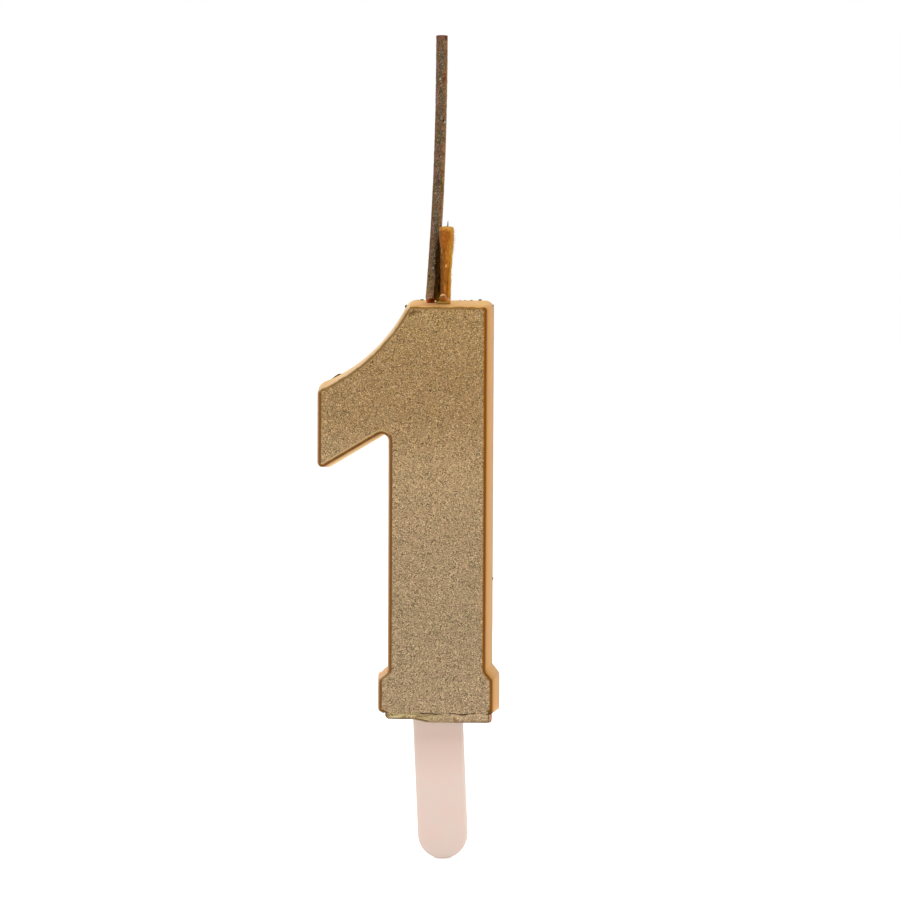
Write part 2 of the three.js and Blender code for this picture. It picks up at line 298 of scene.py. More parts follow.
class Paint(Nodes):
    """A node material whose textures work in millimetres of the frame."""

    def __init__(self, name, roughness=0.5, metallic=0.0):
        self.material = bpy.data.materials.new(name)
        self.material.use_nodes = True
        super().__init__(self.material.node_tree)
        self.shader = self.tree.nodes["Principled BSDF"]
        self.shader.inputs["Roughness"].default_value = roughness
        self.shader.inputs["Metallic"].default_value = metallic
        coordinates = self.outputs("ShaderNodeTexCoord")
        millimetres = {0: coordinates["Object"], "Scale": 1 / MM}
        self.place = self.wire("ShaderNodeVectorMath", millimetres, operation="SCALE")
        self.x, self.y, self.z = self.outputs("ShaderNodeSeparateXYZ", self.place).values()
        facing = self.outputs("ShaderNodeSeparateXYZ", coordinates["Normal"])
        self.facing_x, self.facing_y, self.facing_z = facing.values()

    def noise(self, scale, detail=2.0, rough=0.5, stretch=None):
        """Cloudy noise from 0 to 1; stretch scales the place by axis first."""
        place = self.place
        if stretch:
            place = self.wire("ShaderNodeVectorMath", {0: place, 1: stretch}, operation="MULTIPLY")
        settings = {"Vector": place, "Scale": scale, "Detail": detail, "Roughness": rough}
        return self.wire("ShaderNodeTexNoise", settings, "Fac")

    def cells(self, scale):
        """Three random numbers that are constant over each small cell."""
        colour = self.wire("ShaderNodeTexVoronoi", {"Vector": self.place, "Scale": scale}, "Color")
        return self.outputs("ShaderNodeSeparateColor", colour).values()

    def ramp(self, value, stops):
        """The colour at value between stops of (place, colour)."""
        made = self.tree.nodes.new("ShaderNodeValToRGB")
        self.put(value, made.inputs[0])
        elements = made.color_ramp.elements
        while len(elements) < len(stops):
            elements.new(1.0)
        for element, (position, colour) in zip(elements, stops):
            element.position = position
            element.color = srgb(*colour)
        return Value(self, made.outputs[0])

    def mix(self, share, first, second, blend="MIX"):
        sockets = {0: share, 6: first, 7: second}
        return self.wire("ShaderNodeMix", sockets, 2, data_type="RGBA", blend_type=blend)

    def brighten(self, colour, factor):
        """The colour times a grey factor."""
        grey = self.wire("ShaderNodeCombineColor", {0: factor, 1: factor, 2: factor})
        return self.mix(1.0, colour, grey, "MULTIPLY")

    def patch(self, tone, place, reach, colour, share=1.0):
        """The tone with a soft patch of colour round an (x, z) place, seen from the front."""
        across = self.x.remap(place[0] - reach[0], place[0] + reach[0], -1.0, 1.0)
        up = self.z.remap(place[1] - reach[1], place[1] + reach[1], -1.0, 1.0)
        away = across * across + up * up
        return self.mix(away.remap(0.3, 1.0, share, 0.0), tone, colour)

    def finish(self, colour, bump=None, **settings):
        """The material, with a bump of (height, depth in millimetres, strength) and more settings."""
        self.put(colour, self.shader.inputs["Base Color"])
        for key, value in settings.items():
            self.put(value, self.shader.inputs[key.replace("_", " ")])
        if bump:
            height, depth, strength = bump
            relief = {"Height": height, "Distance": depth * MM, "Strength": strength}
            self.put(self.wire("ShaderNodeBump", relief), self.shader.inputs["Normal"])
        return self.material


def sanded(paint, tone):
    """The tone with light and dark grains, sparkles, pits and soft blotches, and the grain's height."""
    first, second, third = paint.cells(8.6)
    coarse = paint.noise(3.6, 2.0, 0.7)
    crowd = paint.noise(1.2).remap(0.42, 0.58, 0.5, 1.15)
    contrast = (first - 0.5) * crowd
    factor = contrast.remap(-0.5, 0.5, 0.22, 1.78) * coarse.remap(0.32, 0.68, 0.93, 1.07)
    sand = paint.brighten(tone, factor)
    sand = paint.mix(paint.noise(0.9).remap(0.4, 0.6, 0.0, 0.12), sand, (182, 140, 112))
    sand = paint.mix(paint.noise(0.6).remap(0.52, 0.66, 0.0, 0.12), sand, (146, 138, 92))
    sparkle = second.remap(0.935, 0.945, 0.0, 0.7)
    pit = third.remap(0.92, 0.93, 0.0, 0.6)
    sand = paint.mix(pit, paint.mix(sparkle, sand, (240, 214, 166)), (92, 70, 34))
    return sand, first * 0.5 + coarse


def sandy_gold():
    """Glitter paint on the face: fine sand with light and dark grains."""
    paint = Paint("sandy_gold", metallic=0.35)
    tone = paint.ramp(paint.z.remap(0.0, 63.0), [
        (0.0, (164, 139, 107)), (0.22, (156, 133, 100)), (0.45, (162, 136, 101)), (0.6, (170, 142, 102)),
        (0.72, (154, 123, 80)), (0.85, (154, 122, 77)), (1.0, (161, 129, 79)),
    ])
    for place, reach in (((-3.95, 61.5), (0.75, 0.75)), ((-3.2, 61.75), (1.0, 0.4))):
        tone = paint.patch(tone, place, reach, (114, 86, 40), 0.95)
    sand, grain = sanded(paint, tone)
    return paint.finish(
        sand, bump=(grain, 0.04, 0.6), Roughness=grain.remap(0.4, 1.1, 0.66, 0.5), Specular_IOR_Level=0.3,
    )


def shaded_edge_paint():
    """Rounded edge between the face and the walls: a dark line of painted shade and painted reflection, its
    tone placed by the way the edge faces, with painted highlights along it.
    """
    paint = Paint("shaded_edge_paint", roughness=0.45, metallic=0.4)
    face_tone = paint.mix(paint.z.remap(30.0, 50.0), (162, 136, 102), (157, 125, 80))
    face_like, grain = sanded(paint, face_tone)
    turned = paint.math("SQRT", 1.0 - paint.facing_y * paint.facing_y)
    span = turned.at_least(0.02)
    upness = paint.facing_z / span
    rightness = paint.facing_x / span
    up = upness.remap(0.35, 0.6) * rightness.remap(0.5, 0.2)
    right = rightness.remap(-0.1, 0.3)
    streaks = paint.noise(1.6, 4.0, 0.6)

    # Painted shade and reflection: the dark line's tone changes with the way the edge faces
    dark_left = paint.mix(turned.remap(0.45, 0.75, 0.0, 0.9), (118, 81, 44), (198, 160, 122))
    dark_right = paint.mix(paint.z.remap(12.0, 5.0), (120, 70, 6), (118, 75, 28))
    curve = rightness.remap(-0.3, -0.5)
    under = upness.remap(-0.5, -0.8)
    dark_under = paint.mix(streaks.remap(0.48, 0.6), (112, 82, 34), (138, 86, 46))
    dark = paint.mix(right, dark_left, dark_right)
    dark = paint.mix(up, dark, paint.mix(curve, (134, 96, 46), (132, 102, 62)))
    dark = paint.mix(under, dark, dark_under)
    dark = paint.brighten(dark, streaks.remap(0.3, 0.7, 0.88, 1.12))
    left_share = turned.remap(0.0, 0.07)
    right_share = turned.remap(0.15, 0.45)
    up_share = paint.mix(curve, turned.remap(0.16, 0.5), turned.remap(0.04, 0.2))
    share = paint.mix(up, paint.mix(right, left_share, right_share), up_share)
    tone = paint.mix(share, face_like, dark)
    # Painted highlight: a pale wavy band where the edge meets the top and the hollow curve
    wander = turned + paint.noise(0.8, 3.0).remap(0.35, 0.65, -0.1, 0.1)
    highlight_crest = paint.mix(curve, wander.remap(0.74, 0.95), wander.remap(0.5, 0.8))
    highlight_crest_tone = paint.mix(curve, (216, 172, 112), (220, 190, 150))
    tone = paint.mix(up * highlight_crest, tone, highlight_crest_tone)
    # Painted highlight: a pale line along the rounded edge where it faces down
    underside_edge_highlight = turned.remap(0.02, 0.08) * turned.remap(0.3, 0.16)
    tone = paint.mix(underside_edge_highlight * under * 0.85, tone, (200, 166, 118))
    return paint.finish(
        tone, bump=(grain, 0.02, 0.5), Roughness=streaks.remap(0.3, 0.7, 0.4, 0.55), Specular_IOR_Level=0.1,
        Specular_Tint=(206, 140, 30),
    )


def satin_gold():
    """Smooth gold paint on the walls, deepest beside the face and paler behind: painted shade and painted
    light, set by depth and by the way each wall faces.
    """
    paint = Paint("satin_gold", metallic=0.55)
    depth = paint.y.remap(FACE_Y, BACK_Y)
    # Painted shade: the walls darkest beside the face and a little darker again at the back edge
    side_wall = paint.ramp(depth, [
        (0.0, (120, 68, 0)), (0.06, (136, 84, 4)), (0.15, (180, 127, 30)), (0.28, (194, 148, 76)),
        (0.55, (203, 155, 110)), (0.85, (198, 164, 130)), (0.95, (186, 152, 112)), (1.0, (168, 130, 78)),
    ])
    low_part = paint.z.remap(36.0, 5.0, 0.0, 0.3) * depth.remap(0.2, 0.45)
    side_wall = paint.mix(low_part, side_wall, (196, 164, 118))
    # Painted light on walls that face up or to the left
    lit_wall_tone = paint.ramp(depth, [
        (0.0, (190, 146, 82)), (0.2, (200, 155, 88)), (0.6, (214, 178, 118)), (1.0, (224, 187, 138)),
    ])
    lit_wall_share = paint.facing_z.remap(0.45, 0.85).at_least(paint.facing_x.remap(-0.1, -0.5, 0.0, 0.8))
    wall = paint.mix(lit_wall_share, side_wall, lit_wall_tone)
    patches = paint.noise(0.8, 3.0, 0.6)
    # Painted light on the hollow curve's walls, palest towards the back
    lit_curve_tone = paint.mix(patches.remap(0.42, 0.58), (236, 196, 160), (227, 206, 157))
    lit_curve_tone = paint.mix(depth.remap(0.6, 1.0, 0.0, 0.5), lit_curve_tone, (252, 236, 202))
    lit_curve_tone = paint.mix(paint.z.remap(12.0, 9.0, 0.0, 0.6), lit_curve_tone, (238, 186, 154))
    curve = paint.facing_x.remap(-0.15, -0.45) * paint.facing_z.remap(0.3, 0.6)
    wall = paint.mix(curve * 0.95, wall, lit_curve_tone)
    # Painted shade and light on walls that face down: dark beside the face, pale behind
    down_wall_shading = paint.ramp(depth, [
        (0.0, (118, 84, 34)), (0.16, (140, 100, 50)), (0.4, (218, 182, 130)), (1.0, (250, 234, 200)),
    ])
    down_wall_shading = paint.mix(patches.remap(0.42, 0.58, 0.0, 0.35), down_wall_shading, (232, 214, 150))
    wall = paint.mix(paint.facing_z.remap(-0.4, -0.8), wall, down_wall_shading)
    wall = paint.patch(wall, (8.85, 2.2), (0.45, 1.3), (222, 160, 122), 0.3)
    # Painted light on the top wall
    top_light_tone = paint.mix(paint.noise(0.6).remap(0.42, 0.58), (228, 184, 142), (214, 182, 108))
    top_light_share = paint.facing_z.remap(0.85, 0.95) * depth.remap(0.05, 0.4, 0.2, 0.7)
    wall = paint.mix(top_light_share, wall, top_light_tone)
    drift = paint.noise(0.35, 3.0, 0.6)
    wall = paint.brighten(wall, drift.remap(0.3, 0.7, 0.92, 1.08))
    around_fuse = paint.facing_z.remap(0.6, 0.9) * abs(paint.x - STAIN_X).remap(2.2, 0.9)
    stain = paint.noise(1.1, 3.0).remap(0.36, 0.6, 0.0, 0.5)
    wall = paint.mix(around_fuse * stain, wall, (206, 128, 72))
    return paint.finish(
        wall, bump=(paint.noise(0.8, 4.0, 0.55), 0.06, 0.5), Roughness=drift.remap(0.3, 0.7, 0.4, 0.55),
        Specular_Tint=(235, 184, 96), Specular_IOR_Level=0.15,
    )


def bare_wax():
    """Unpainted wax inside the pick's slot."""
    paint = Paint("bare_wax", roughness=0.5)
    cloud = paint.noise(0.9, 4.0)
    return paint.finish(paint.mix(cloud, (222, 196, 152), (236, 216, 178)), bump=(cloud, 0.05, 0.5))


def near_line(paint, line, width):
    """1 on a line of (x, z) places at even steps of x, fading to 0 at width from it and past its ends."""
    first, last = line[0][0], line[-1][0]
    count = len(line) - 1
    span = paint.x.remap(first, last)
    total = 0.0
    for number, (_, z) in enumerate(line):
        total = abs(span - number / count).remap(0.0, 1 / count, z, 0.0) + total
    wobble = paint.noise(1.8).remap(0.3, 0.7, -0.05, 0.05)
    away = abs(paint.z + wobble - total)
    inside = paint.x.remap(first, first + 0.3) * paint.x.remap(last, last - 0.3)
    return inside * away.remap(0.3 * width, width, 1.0, 0.0)


def lip_gold():
    """Gold paint over the poured lip, coarser than the face, with painted shade under its edge and in its
    creases, and painted highlight streaks on its left part.
    """
    paint = Paint("lip_gold", metallic=0.35)
    tone = paint.ramp(paint.x.remap(-7.5, 8.0), [
        (0.0, (156, 136, 92)), (0.35, (160, 138, 96)), (0.6, (170, 144, 110)), (1.0, (176, 148, 116)),
    ])
    sand, grain = sanded(paint, tone)
    streak = paint.noise(1.3, 3.0, 0.6, (0.35, 1.0, 2.4))
    # Painted highlight: pale streaks, strongest on the left part
    left_highlight_streaks = paint.x.remap(-2.0, 1.5, 0.85, 0.15) * streak.remap(0.5, 0.58)
    sand = paint.mix(left_highlight_streaks, sand, (210, 192, 142))
    # Painted shade along the creases and the line at the foot
    for line, width, strength in (
        (UPPER_CREASE, 0.1, 0.8),
        (LOWER_CREASE, 0.17, 0.9),
        (LOWER_LINE, 0.1, 0.8),
    ):
        sand = paint.mix(near_line(paint, line, width) * strength, sand, (98, 66, 26))
    # Painted shade on the faces that look down
    under = paint.facing_z.remap(-0.15, -0.6, 0.0, 0.9) * abs(paint.x).remap(2.6, 4.2, 0.45, 1.0)
    sand = paint.mix(under, sand, (100, 70, 26))
    right_rim = paint.x.remap(LIP_RIGHT_X - 0.3, LIP_RIGHT_X - 0.15, 0.0, 0.7)
    right_end = paint.facing_x.remap(0.35, 0.9, 0.0, 0.8).at_least(right_rim)
    right_end = right_end * paint.y.remap(FACE_Y + 2.5, FACE_Y + 1.0, 0.2, 1.0)
    sand = paint.mix(right_end, sand, (206, 122, 88))
    left_rim = paint.x.remap(LIP_LEFT_X + 0.6, LIP_LEFT_X + 0.3, 0.0, 0.75)
    left_end = paint.facing_x.remap(-0.35, -0.9, 0.0, 0.9).at_least(left_rim)
    sand = paint.mix(left_end, sand, (118, 70, 24))
    for place, reach, colour in (
        ((2.75, 0.5), (0.32, 0.55), (130, 98, 56)),
        ((7.88, 0.8), (0.16, 0.6), (110, 70, 30)),
    ):
        sand = paint.patch(sand, place, reach, colour, 0.75)
    return paint.finish(
        sand, bump=(grain, 0.04, 0.7), Roughness=grain.remap(0.4, 1.1, 0.66, 0.5), Specular_IOR_Level=0.3,
    )


def pink_plastic():
    """Satin moulded plastic, pale pink, a little cloudy."""
    paint = Paint("pink_plastic", roughness=0.42)
    cloud = paint.noise(0.28)
    tone = paint.mix(cloud.remap(0.35, 0.65), (238, 214, 202), (235, 216, 204))
    # Painted light: a paler band just under the lip, lifting the shade there
    lifted_shade_band = paint.z.remap(-2.4, -0.4) * paint.z.remap(3.0, 0.8)
    tone = paint.mix(lifted_shade_band, tone, (255, 232, 220))
    # Painted shade: darker a little lower down, below the lip
    under_lip_shade = paint.z.remap(-9.0, -5.0) * paint.z.remap(-1.0, -3.0)
    tone = paint.mix(under_lip_shade * 0.6, tone, (228, 202, 188))
    return paint.finish(
        tone, bump=(paint.noise(1.5, 3.0), 0.01, 0.3), Subsurface_Weight=0.35,
        Subsurface_Radius=(1.0, 0.7, 0.6), Subsurface_Scale=0.002,
    )


def waxed_cotton():
    """Wax soaked cotton strands, brown beside the fuse and golden on the other side: painted shade and
    painted light.
    """
    paint = Paint("waxed_cotton", roughness=0.6)
    across = paint.x.remap(WICK_FOOT_X - 0.85, WICK_FOOT_X + 0.9)
    # Painted shade beside the fuse, painted light on the far side
    tone = paint.ramp(across, [
        (0.0, (64, 34, 4)), (0.12, (108, 66, 22)), (0.35, (142, 90, 34)), (0.55, (154, 90, 27)),
        (0.78, (180, 114, 36)), (0.9, (196, 138, 46)), (1.0, (214, 160, 66)),
    ])
    # Painted highlights and darker places
    for place, reach, colour, share in WICK_HIGHLIGHTS_AND_MARKS:
        tone = paint.patch(tone, place, reach, colour, share)
    fibre = paint.noise(5.0, 3.0, 0.7, (1.0, 1.0, 0.22))
    tone = paint.brighten(tone, fibre.remap(0.3, 0.7, 0.66, 1.38))
    cross = paint.noise(3.2, 2.0, 0.6, (1.0, 1.0, 0.7))
    tone = paint.brighten(tone, cross.remap(0.3, 0.7, 0.88, 1.12))
    glint = paint.noise(2.4, 2.0, 0.6, (1.0, 1.0, 0.4))
    tone = paint.mix(glint.remap(0.62, 0.72, 0.0, 0.5), tone, (222, 156, 96))
    return paint.finish(
        tone, bump=(fibre, 0.06, 0.8), Specular_IOR_Level=0.12, Specular_Tint=(220, 160, 90),
    )


def wax_cap_paint():
    """Smooth wax that holds the wick's cut end together, with painted shade on its left, painted light on
    its right, and golden along its fuzzy rim as painted light.
    """
    paint = Paint("wick_wax", roughness=0.45)
    cloud = paint.noise(1.4, 3.0)
    tone = paint.mix(cloud.remap(0.35, 0.65), (152, 86, 26), (182, 104, 40))
    fibre = paint.noise(4.5, 2.0, 0.6, (1.0, 1.0, 0.3))
    tone = paint.brighten(tone, fibre.remap(0.3, 0.7, 0.82, 1.18))
    # Painted shade on the left, painted light on the right
    left_shade_share = paint.x.remap(WICK_TOP_X - 0.3, WICK_TOP_X - 0.95, 0.0, 0.75)
    tone = paint.mix(left_shade_share, tone, (128, 76, 24))
    right_light_share = paint.x.remap(WICK_TOP_X + 0.5, WICK_TOP_X + 0.85, 0.0, 0.85)
    tone = paint.mix(right_light_share, tone, (198, 138, 44))
    # Painted shade in a fold across the cap
    crease_shade = near_line(paint, [(0.2, 72.05), (0.8, 72.1), (1.5, 72.08)], 0.09)
    tone = paint.mix(crease_shade * 0.6, tone, (132, 66, 14))
    # Painted light along the ragged top rim
    ragged = paint.z + paint.noise(3.2).remap(0.3, 0.7, -0.35, 0.35)
    rim = ragged.remap(WICK_TOP_Z - 0.6, WICK_TOP_Z - 0.25, 0.0, 0.85)
    return paint.finish(
        paint.mix(rim, tone, (210, 154, 62)), bump=(fibre, 0.04, 0.6), Specular_IOR_Level=0.15,
        Specular_Tint=(220, 160, 90),
    )


def fuzz():
    paint = Paint("cotton_fuzz", roughness=0.7)
    return paint.finish(paint.mix(paint.noise(2.0), (190, 132, 44), (218, 168, 80)), Specular_IOR_Level=0.1)


def core_thread_paint():
    paint = Paint("core_thread", roughness=0.7)
    fibre = paint.noise(8.0, 2.0, 0.6, (1.0, 1.0, 0.3))
    return paint.finish(paint.mix(fibre, (96, 84, 80), (150, 136, 128)), bump=(fibre, 0.02, 0.5))


def amber_wax():
    """Bead and wax round the wick's foot: pale over its left shoulder as a painted highlight, orange
    inside, olive gold below, with painted light on its right side.
    """
    paint = Paint("amber_wax", roughness=0.4)
    cloud = paint.noise(2.2, 3.0)
    level = paint.z + cloud.remap(0.3, 0.7, -0.12, 0.12)
    # Painted highlight over the top
    tone = paint.ramp(level.remap(62.6, 64.3), [
        (0.0, (132, 98, 26)), (0.25, (158, 118, 38)), (0.4, (150, 88, 6)), (0.6, (146, 84, 6)),
        (0.74, (106, 66, 8)), (0.82, (206, 146, 88)), (1.0, (240, 190, 138)),
    ])
    # Painted light on the right side
    right_light_share = paint.x.remap(0.75, 1.05) * level.remap(62.8, 63.2)
    tone = paint.mix(right_light_share * 0.8, tone, (206, 140, 76))
    return paint.finish(
        tone, bump=(cloud, 0.03, 0.4), Subsurface_Weight=0.1, Subsurface_Scale=0.0004,
        Specular_IOR_Level=0.3,
    )


def pale_wax():
    """Small pale drop beside the fuse's foot."""
    paint = Paint("pale_wax", roughness=0.4)
    return paint.finish(paint.mix(paint.noise(3.0), (246, 216, 156), (250, 226, 176)))


def spark_paste():
    """Dried paste with metal specks: grey-green in front, brown sides, dark towards the wick's foot with
    painted shade on the side beside the wick.
    """
    paint = Paint("spark_paste", roughness=0.7, metallic=0.1)
    side = paint.wire("ShaderNodeAttribute", {}, "Fac", attribute_name="side")
    flank = abs(side + paint.noise(1.4, 3.0, 0.6).remap(0.3, 0.7, -0.4, 0.4))
    middle = paint.mix(paint.noise(0.5).remap(0.42, 0.6), (98, 84, 58), (114, 86, 66))
    left = paint.mix(paint.noise(0.7).remap(0.4, 0.6), (126, 94, 76), (118, 90, 56))
    right = paint.mix(paint.noise(0.9).remap(0.4, 0.6), (150, 112, 76), (122, 86, 52))
    brown = paint.mix(side.remap(-0.3, 0.3), left, right)
    tone = paint.mix(flank.remap(0.25, 0.7), middle, brown)
    foot = paint.z.remap(TOP_Z + 6.5, TOP_Z + 1.5, 0.0, 0.9, True)
    foot_tone = paint.mix(paint.noise(0.9).remap(0.4, 0.6), (174, 138, 112), (140, 114, 72))
    tone = paint.mix(foot, tone, foot_tone)
    for place, reach, colour, share in FUSE_MARKS:
        tone = paint.patch(tone, place, reach, colour, share)
    grain = paint.noise(5.0, 4.0, 0.8)
    tone = paint.brighten(tone, grain.remap(0.3, 0.7, 0.6, 1.4))
    first, second, third = paint.cells(8.0)
    tone = paint.brighten(tone, third.remap(0.0, 1.0, 0.6, 1.4))
    crowd = paint.noise(0.8).remap(0.4, 0.6, 0.3, 1.0)
    speck = first.remap(0.78, 0.82, 0.0, 0.7) * flank.remap(0.7, 0.25)
    tone = paint.mix(speck * crowd, tone, (178, 168, 146))
    pit = second.remap(0.88, 0.9, 0.0, 0.6)
    tone = paint.mix(pit, tone, (46, 28, 10))
    end = paint.z.remap(TOP_Z + FUSE_RISE - 1.2, TOP_Z + FUSE_RISE, 0.0, 0.5)
    tone = paint.mix(end, tone, (128, 72, 54))
    rim = side.remap(0.78, 1.0, 0.0, 0.45)
    tone = paint.mix(rim, tone, (186, 146, 106))
    # Painted shade on the side that faces the wick, low down
    low = paint.z.remap(TOP_Z + 12.2, TOP_Z + 9.0, 0.0, 0.94, True)
    edge = side + paint.z.remap(TOP_Z + 6.0, TOP_Z + 1.5, 0.0, -0.4, True)
    edge = edge + paint.z.remap(TOP_Z + 8.5, TOP_Z + 12.0, 0.0, -0.45, True)
    edge = edge + paint.noise(1.8, 3.0).remap(0.3, 0.7, -0.16, 0.16)
    wick_side_shade = low * edge.remap(0.05, 0.42)
    tone = paint.mix(wick_side_shade, tone, (40, 22, 2))
    return paint.finish(tone, bump=(grain, 0.1, 0.8), Specular_IOR_Level=0.08, Specular_Tint=(190, 140, 90))


def dark_resin():
    # Finish of the resin drop and of the web between fuse and wick, with painted shade
    paint = Paint("dark_resin", roughness=0.6)
    cloud = paint.noise(2.5, 3.0)
    tone = paint.mix(cloud.remap(0.4, 0.6), (92, 28, 0), (134, 56, 4))
    # Painted shade: near black over the web and the drop's side towards the wick
    shade_share = paint.z.remap(63.3, 63.7).at_least(paint.x.remap(-1.0, -0.7))
    olive = paint.z.remap(64.6, 63.4) * paint.x.remap(-0.7, -0.3)
    shade_tone = paint.mix(paint.noise(1.7, 3.0).remap(0.42, 0.62), (38, 20, 0), (66, 38, 10))
    tone = paint.mix(paint.x.remap(-1.5, -1.9, 0.0, 0.8), tone, (186, 92, 40))
    tone = paint.mix(shade_share, tone, shade_tone)
    tone = paint.mix(olive * 0.9, tone, (104, 80, 12))
    return paint.finish(tone, bump=(cloud, 0.05, 0.5), Specular_IOR_Level=0.04, Specular_Tint=(150, 90, 30))


def flash_gold():
    """Small dark crumbs of flash left on the back edge."""
    paint = Paint("flash_crumbs", roughness=0.7)
    grain = paint.noise(4.0, 3.0)
    return paint.finish(
        paint.mix(grain, (76, 48, 4), (112, 82, 24)), bump=(grain, 0.05, 0.6), Specular_IOR_Level=0.02,
        Specular_Tint=(190, 140, 60),
    )


def bare_wire():
    paint = Paint("bare_wire", roughness=0.35, metallic=1.0)
    brush = paint.noise(6.0, 2.0, 0.5, (1.0, 1.0, 0.1))
    return paint.finish(paint.mix(brush, (120, 120, 120), (160, 158, 154)), bump=(brush, 0.01, 0.3))


def new_piece(name, points, faces, materials, slots=None):
    """Mesh object from points in millimetres; slots are its faces' material numbers."""
    mesh = bpy.data.meshes.new(name)
    mesh.from_pydata([(x * MM, y * MM, z * MM) for x, y, z in points], [], faces)
    for material in materials:
        mesh.materials.append(material)
    if slots:
        mesh.polygons.foreach_set("material_index", slots)
    mesh.polygons.foreach_set("use_smooth", [True] * len(faces))
    work = bmesh.new()
    work.from_mesh(mesh)
    bmesh.ops.recalc_face_normals(work, faces=work.faces)
    work.to_mesh(mesh)
    work.free()
    piece = bpy.data.objects.new(name, mesh)
    bpy.context.scene.collection.objects.link(piece)
    return piece


def add_skin(points, faces, rings):
    """Adds a skin over rings of equal count, with both ends capped, to a piece's points and faces."""
    first, count = len(points), len(rings[0])
    last = first + (len(rings) - 1) * count
    for base in range(first, last, count):
        for i in range(count):
            j = (i + 1) % count
            faces.append((base + i, base + j, base + count + j, base + count + i))
    faces.append(tuple(range(first, first + count)))
    faces.append(tuple(range(last, last + count)))
    points.extend(point for ring in rings for point in ring)


def loft_piece(name, rings, materials, slots=None):
    points, faces = [], []
    add_skin(points, faces, rings)
    return new_piece(name, points, faces, materials, slots)


def around(sides):
    """(angle, cosine, sine) at even steps round a circle."""
    angles = [2 * math.pi * step / sides for step in range(sides)]
    return [(angle, math.cos(angle), math.sin(angle)) for angle in angles]


def quarter(steps):
    """(1 - sine, 1 - cosine) at even steps of a quarter circle: one falls to 0, the other rises to 1."""
    angles = [math.pi / 2 * step / steps for step in range(steps + 1)]
    return [(1 - math.sin(angle), 1 - math.cos(angle)) for angle in angles]


def cut(piece, cutter):
    """Takes the cutter out of the piece for good."""
    modifier = piece.modifiers.new("cut", "BOOLEAN")
    modifier.operation = "DIFFERENCE"
    modifier.solver = "EXACT"
    modifier.object = cutter
    graph = bpy.context.evaluated_depsgraph_get()
    result = bpy.data.meshes.new_from_object(piece.evaluated_get(graph))
    piece.modifiers.clear()
    old = piece.data
    piece.data = result
    result.name = piece.name
    bpy.data.meshes.remove(old)
    bpy.data.objects.remove(cutter)


def rounded_outline(corners):
    """(place, outward direction) pairs along an anticlockwise outline of corners (x, z, radius)."""
    count = len(corners)
    places = [Vector((x, z)) for x, z, _ in corners]
    outwards = []
    for i in range(count):
        along = (places[(i + 1) % count] - places[i]).normalized()
        outwards.append(Vector((along.y, -along.x)))
    turns = []
    for i, (_, _, radius) in enumerate(corners):
        before, after = outwards[i - 1], outwards[i]
        middle = (before + after).normalized()
        turn = math.atan2(before.x * after.y - before.y * after.x, before.dot(after))
        if not radius:
            turns.append([(places[i], middle / math.cos(turn / 2))])
            continue
        side = 1 if turn > 0 else -1
        centre = places[i] - side * middle * radius / math.cos(turn / 2)
        arc = []
        for step in range(CORNER_STEPS + 1):
            direction = before.copy()
            direction.rotate(Matrix.Rotation(turn * step / CORNER_STEPS, 2))
            arc.append((centre + side * radius * direction, direction))
        turns.append(arc)
    outline = []
    for i, arc in enumerate(turns):
        outline.extend(arc)
        start = arc[-1][0]
        span = turns[(i + 1) % count][0][0] - start
        pieces = max(1, round(span.length / OUTLINE_SPACING))
        for step in range(1, pieces):
            outline.append((start + span * step / pieces, outwards[i]))
    return outline


def flag_curve():
    """Inner points of the flag's hollow upper edge, from the stem's top to the flag's left end."""
    start = Vector((TOP_LEFT_X, TOP_Z))
    end = Vector((FLAG_LEFT_X, FLAG_TOP_Z))
    chord = end - start
    rise = math.sqrt(FLAG_CURVE_RADIUS ** 2 - chord.length_squared / 4)
    centre = (start + end) / 2 + Vector((chord.y, -chord.x)).normalized() * rise
    first = math.atan2(start.y - centre.y, start.x - centre.x)
    last = math.atan2(end.y - centre.y, end.x - centre.x)
    points = []
    for step in range(1, FLAG_CURVE_STEPS):
        angle = first + (last - first) * step / FLAG_CURVE_STEPS
        points.append((
            centre.x + FLAG_CURVE_RADIUS * math.cos(angle),
            centre.y + FLAG_CURVE_RADIUS * math.sin(angle),
            0,
        ))
    return points


def numeral_outline():
    """Front view of the numeral at the bevel's outer edge."""
    return rounded_outline([
        (FOOT_LEFT_X, UNDERSIDE_Z, FOOT_CORNER),
        (FOOT_RIGHT_X, UNDERSIDE_Z, 0),
        (FOOT_RIGHT_X, SHOULDER_Z, SHOULDER_CORNER),
        (STEM_RIGHT_X, SHOULDER_Z + SHOULDER_RISE, SHOULDER_HOLLOW),
        (STEM_RIGHT_X, TOP_Z, TOP_CORNER),
        (TOP_LEFT_X, TOP_Z, CURVE_CORNER),
        *flag_curve(),
        (FLAG_LEFT_X, FLAG_TOP_Z, CURVE_CORNER),
        (FLAG_LEFT_X, FLAG_BOTTOM_Z, FLAG_CORNER),
        (STEM_LEFT_X, NOTCH_Z, NOTCH_HOLLOW),
        (STEM_LEFT_X, LEFT_SHOULDER_Z + LEFT_SHOULDER_RISE, SHOULDER_HOLLOW),
        (FOOT_LEFT_X, LEFT_SHOULDER_Z, LEFT_SHOULDER_CORNER),
    ])


# Height of the foot's lower front edge along the crack over the lip
SEAM_LINE = [
    (-8.6, 1.5), (-8.2, 1.4), (-7.6, 1.36), (-7.3, 1.42), (-2.5, 1.46), (-2.2, 1.4), (-1.3, 1.44),
    (-0.5, 1.37), (0.8, 1.33), (1.6, 1.42), (2.4, 1.44), (3.2, 1.4), (3.9, 1.28), (4.4, 1.31), (5.0, 1.5),
    (5.5, 1.46), (6.0, 1.56), (6.4, 1.5), (6.9, 1.4), (7.6, 1.36), (8.1, 1.4),
]

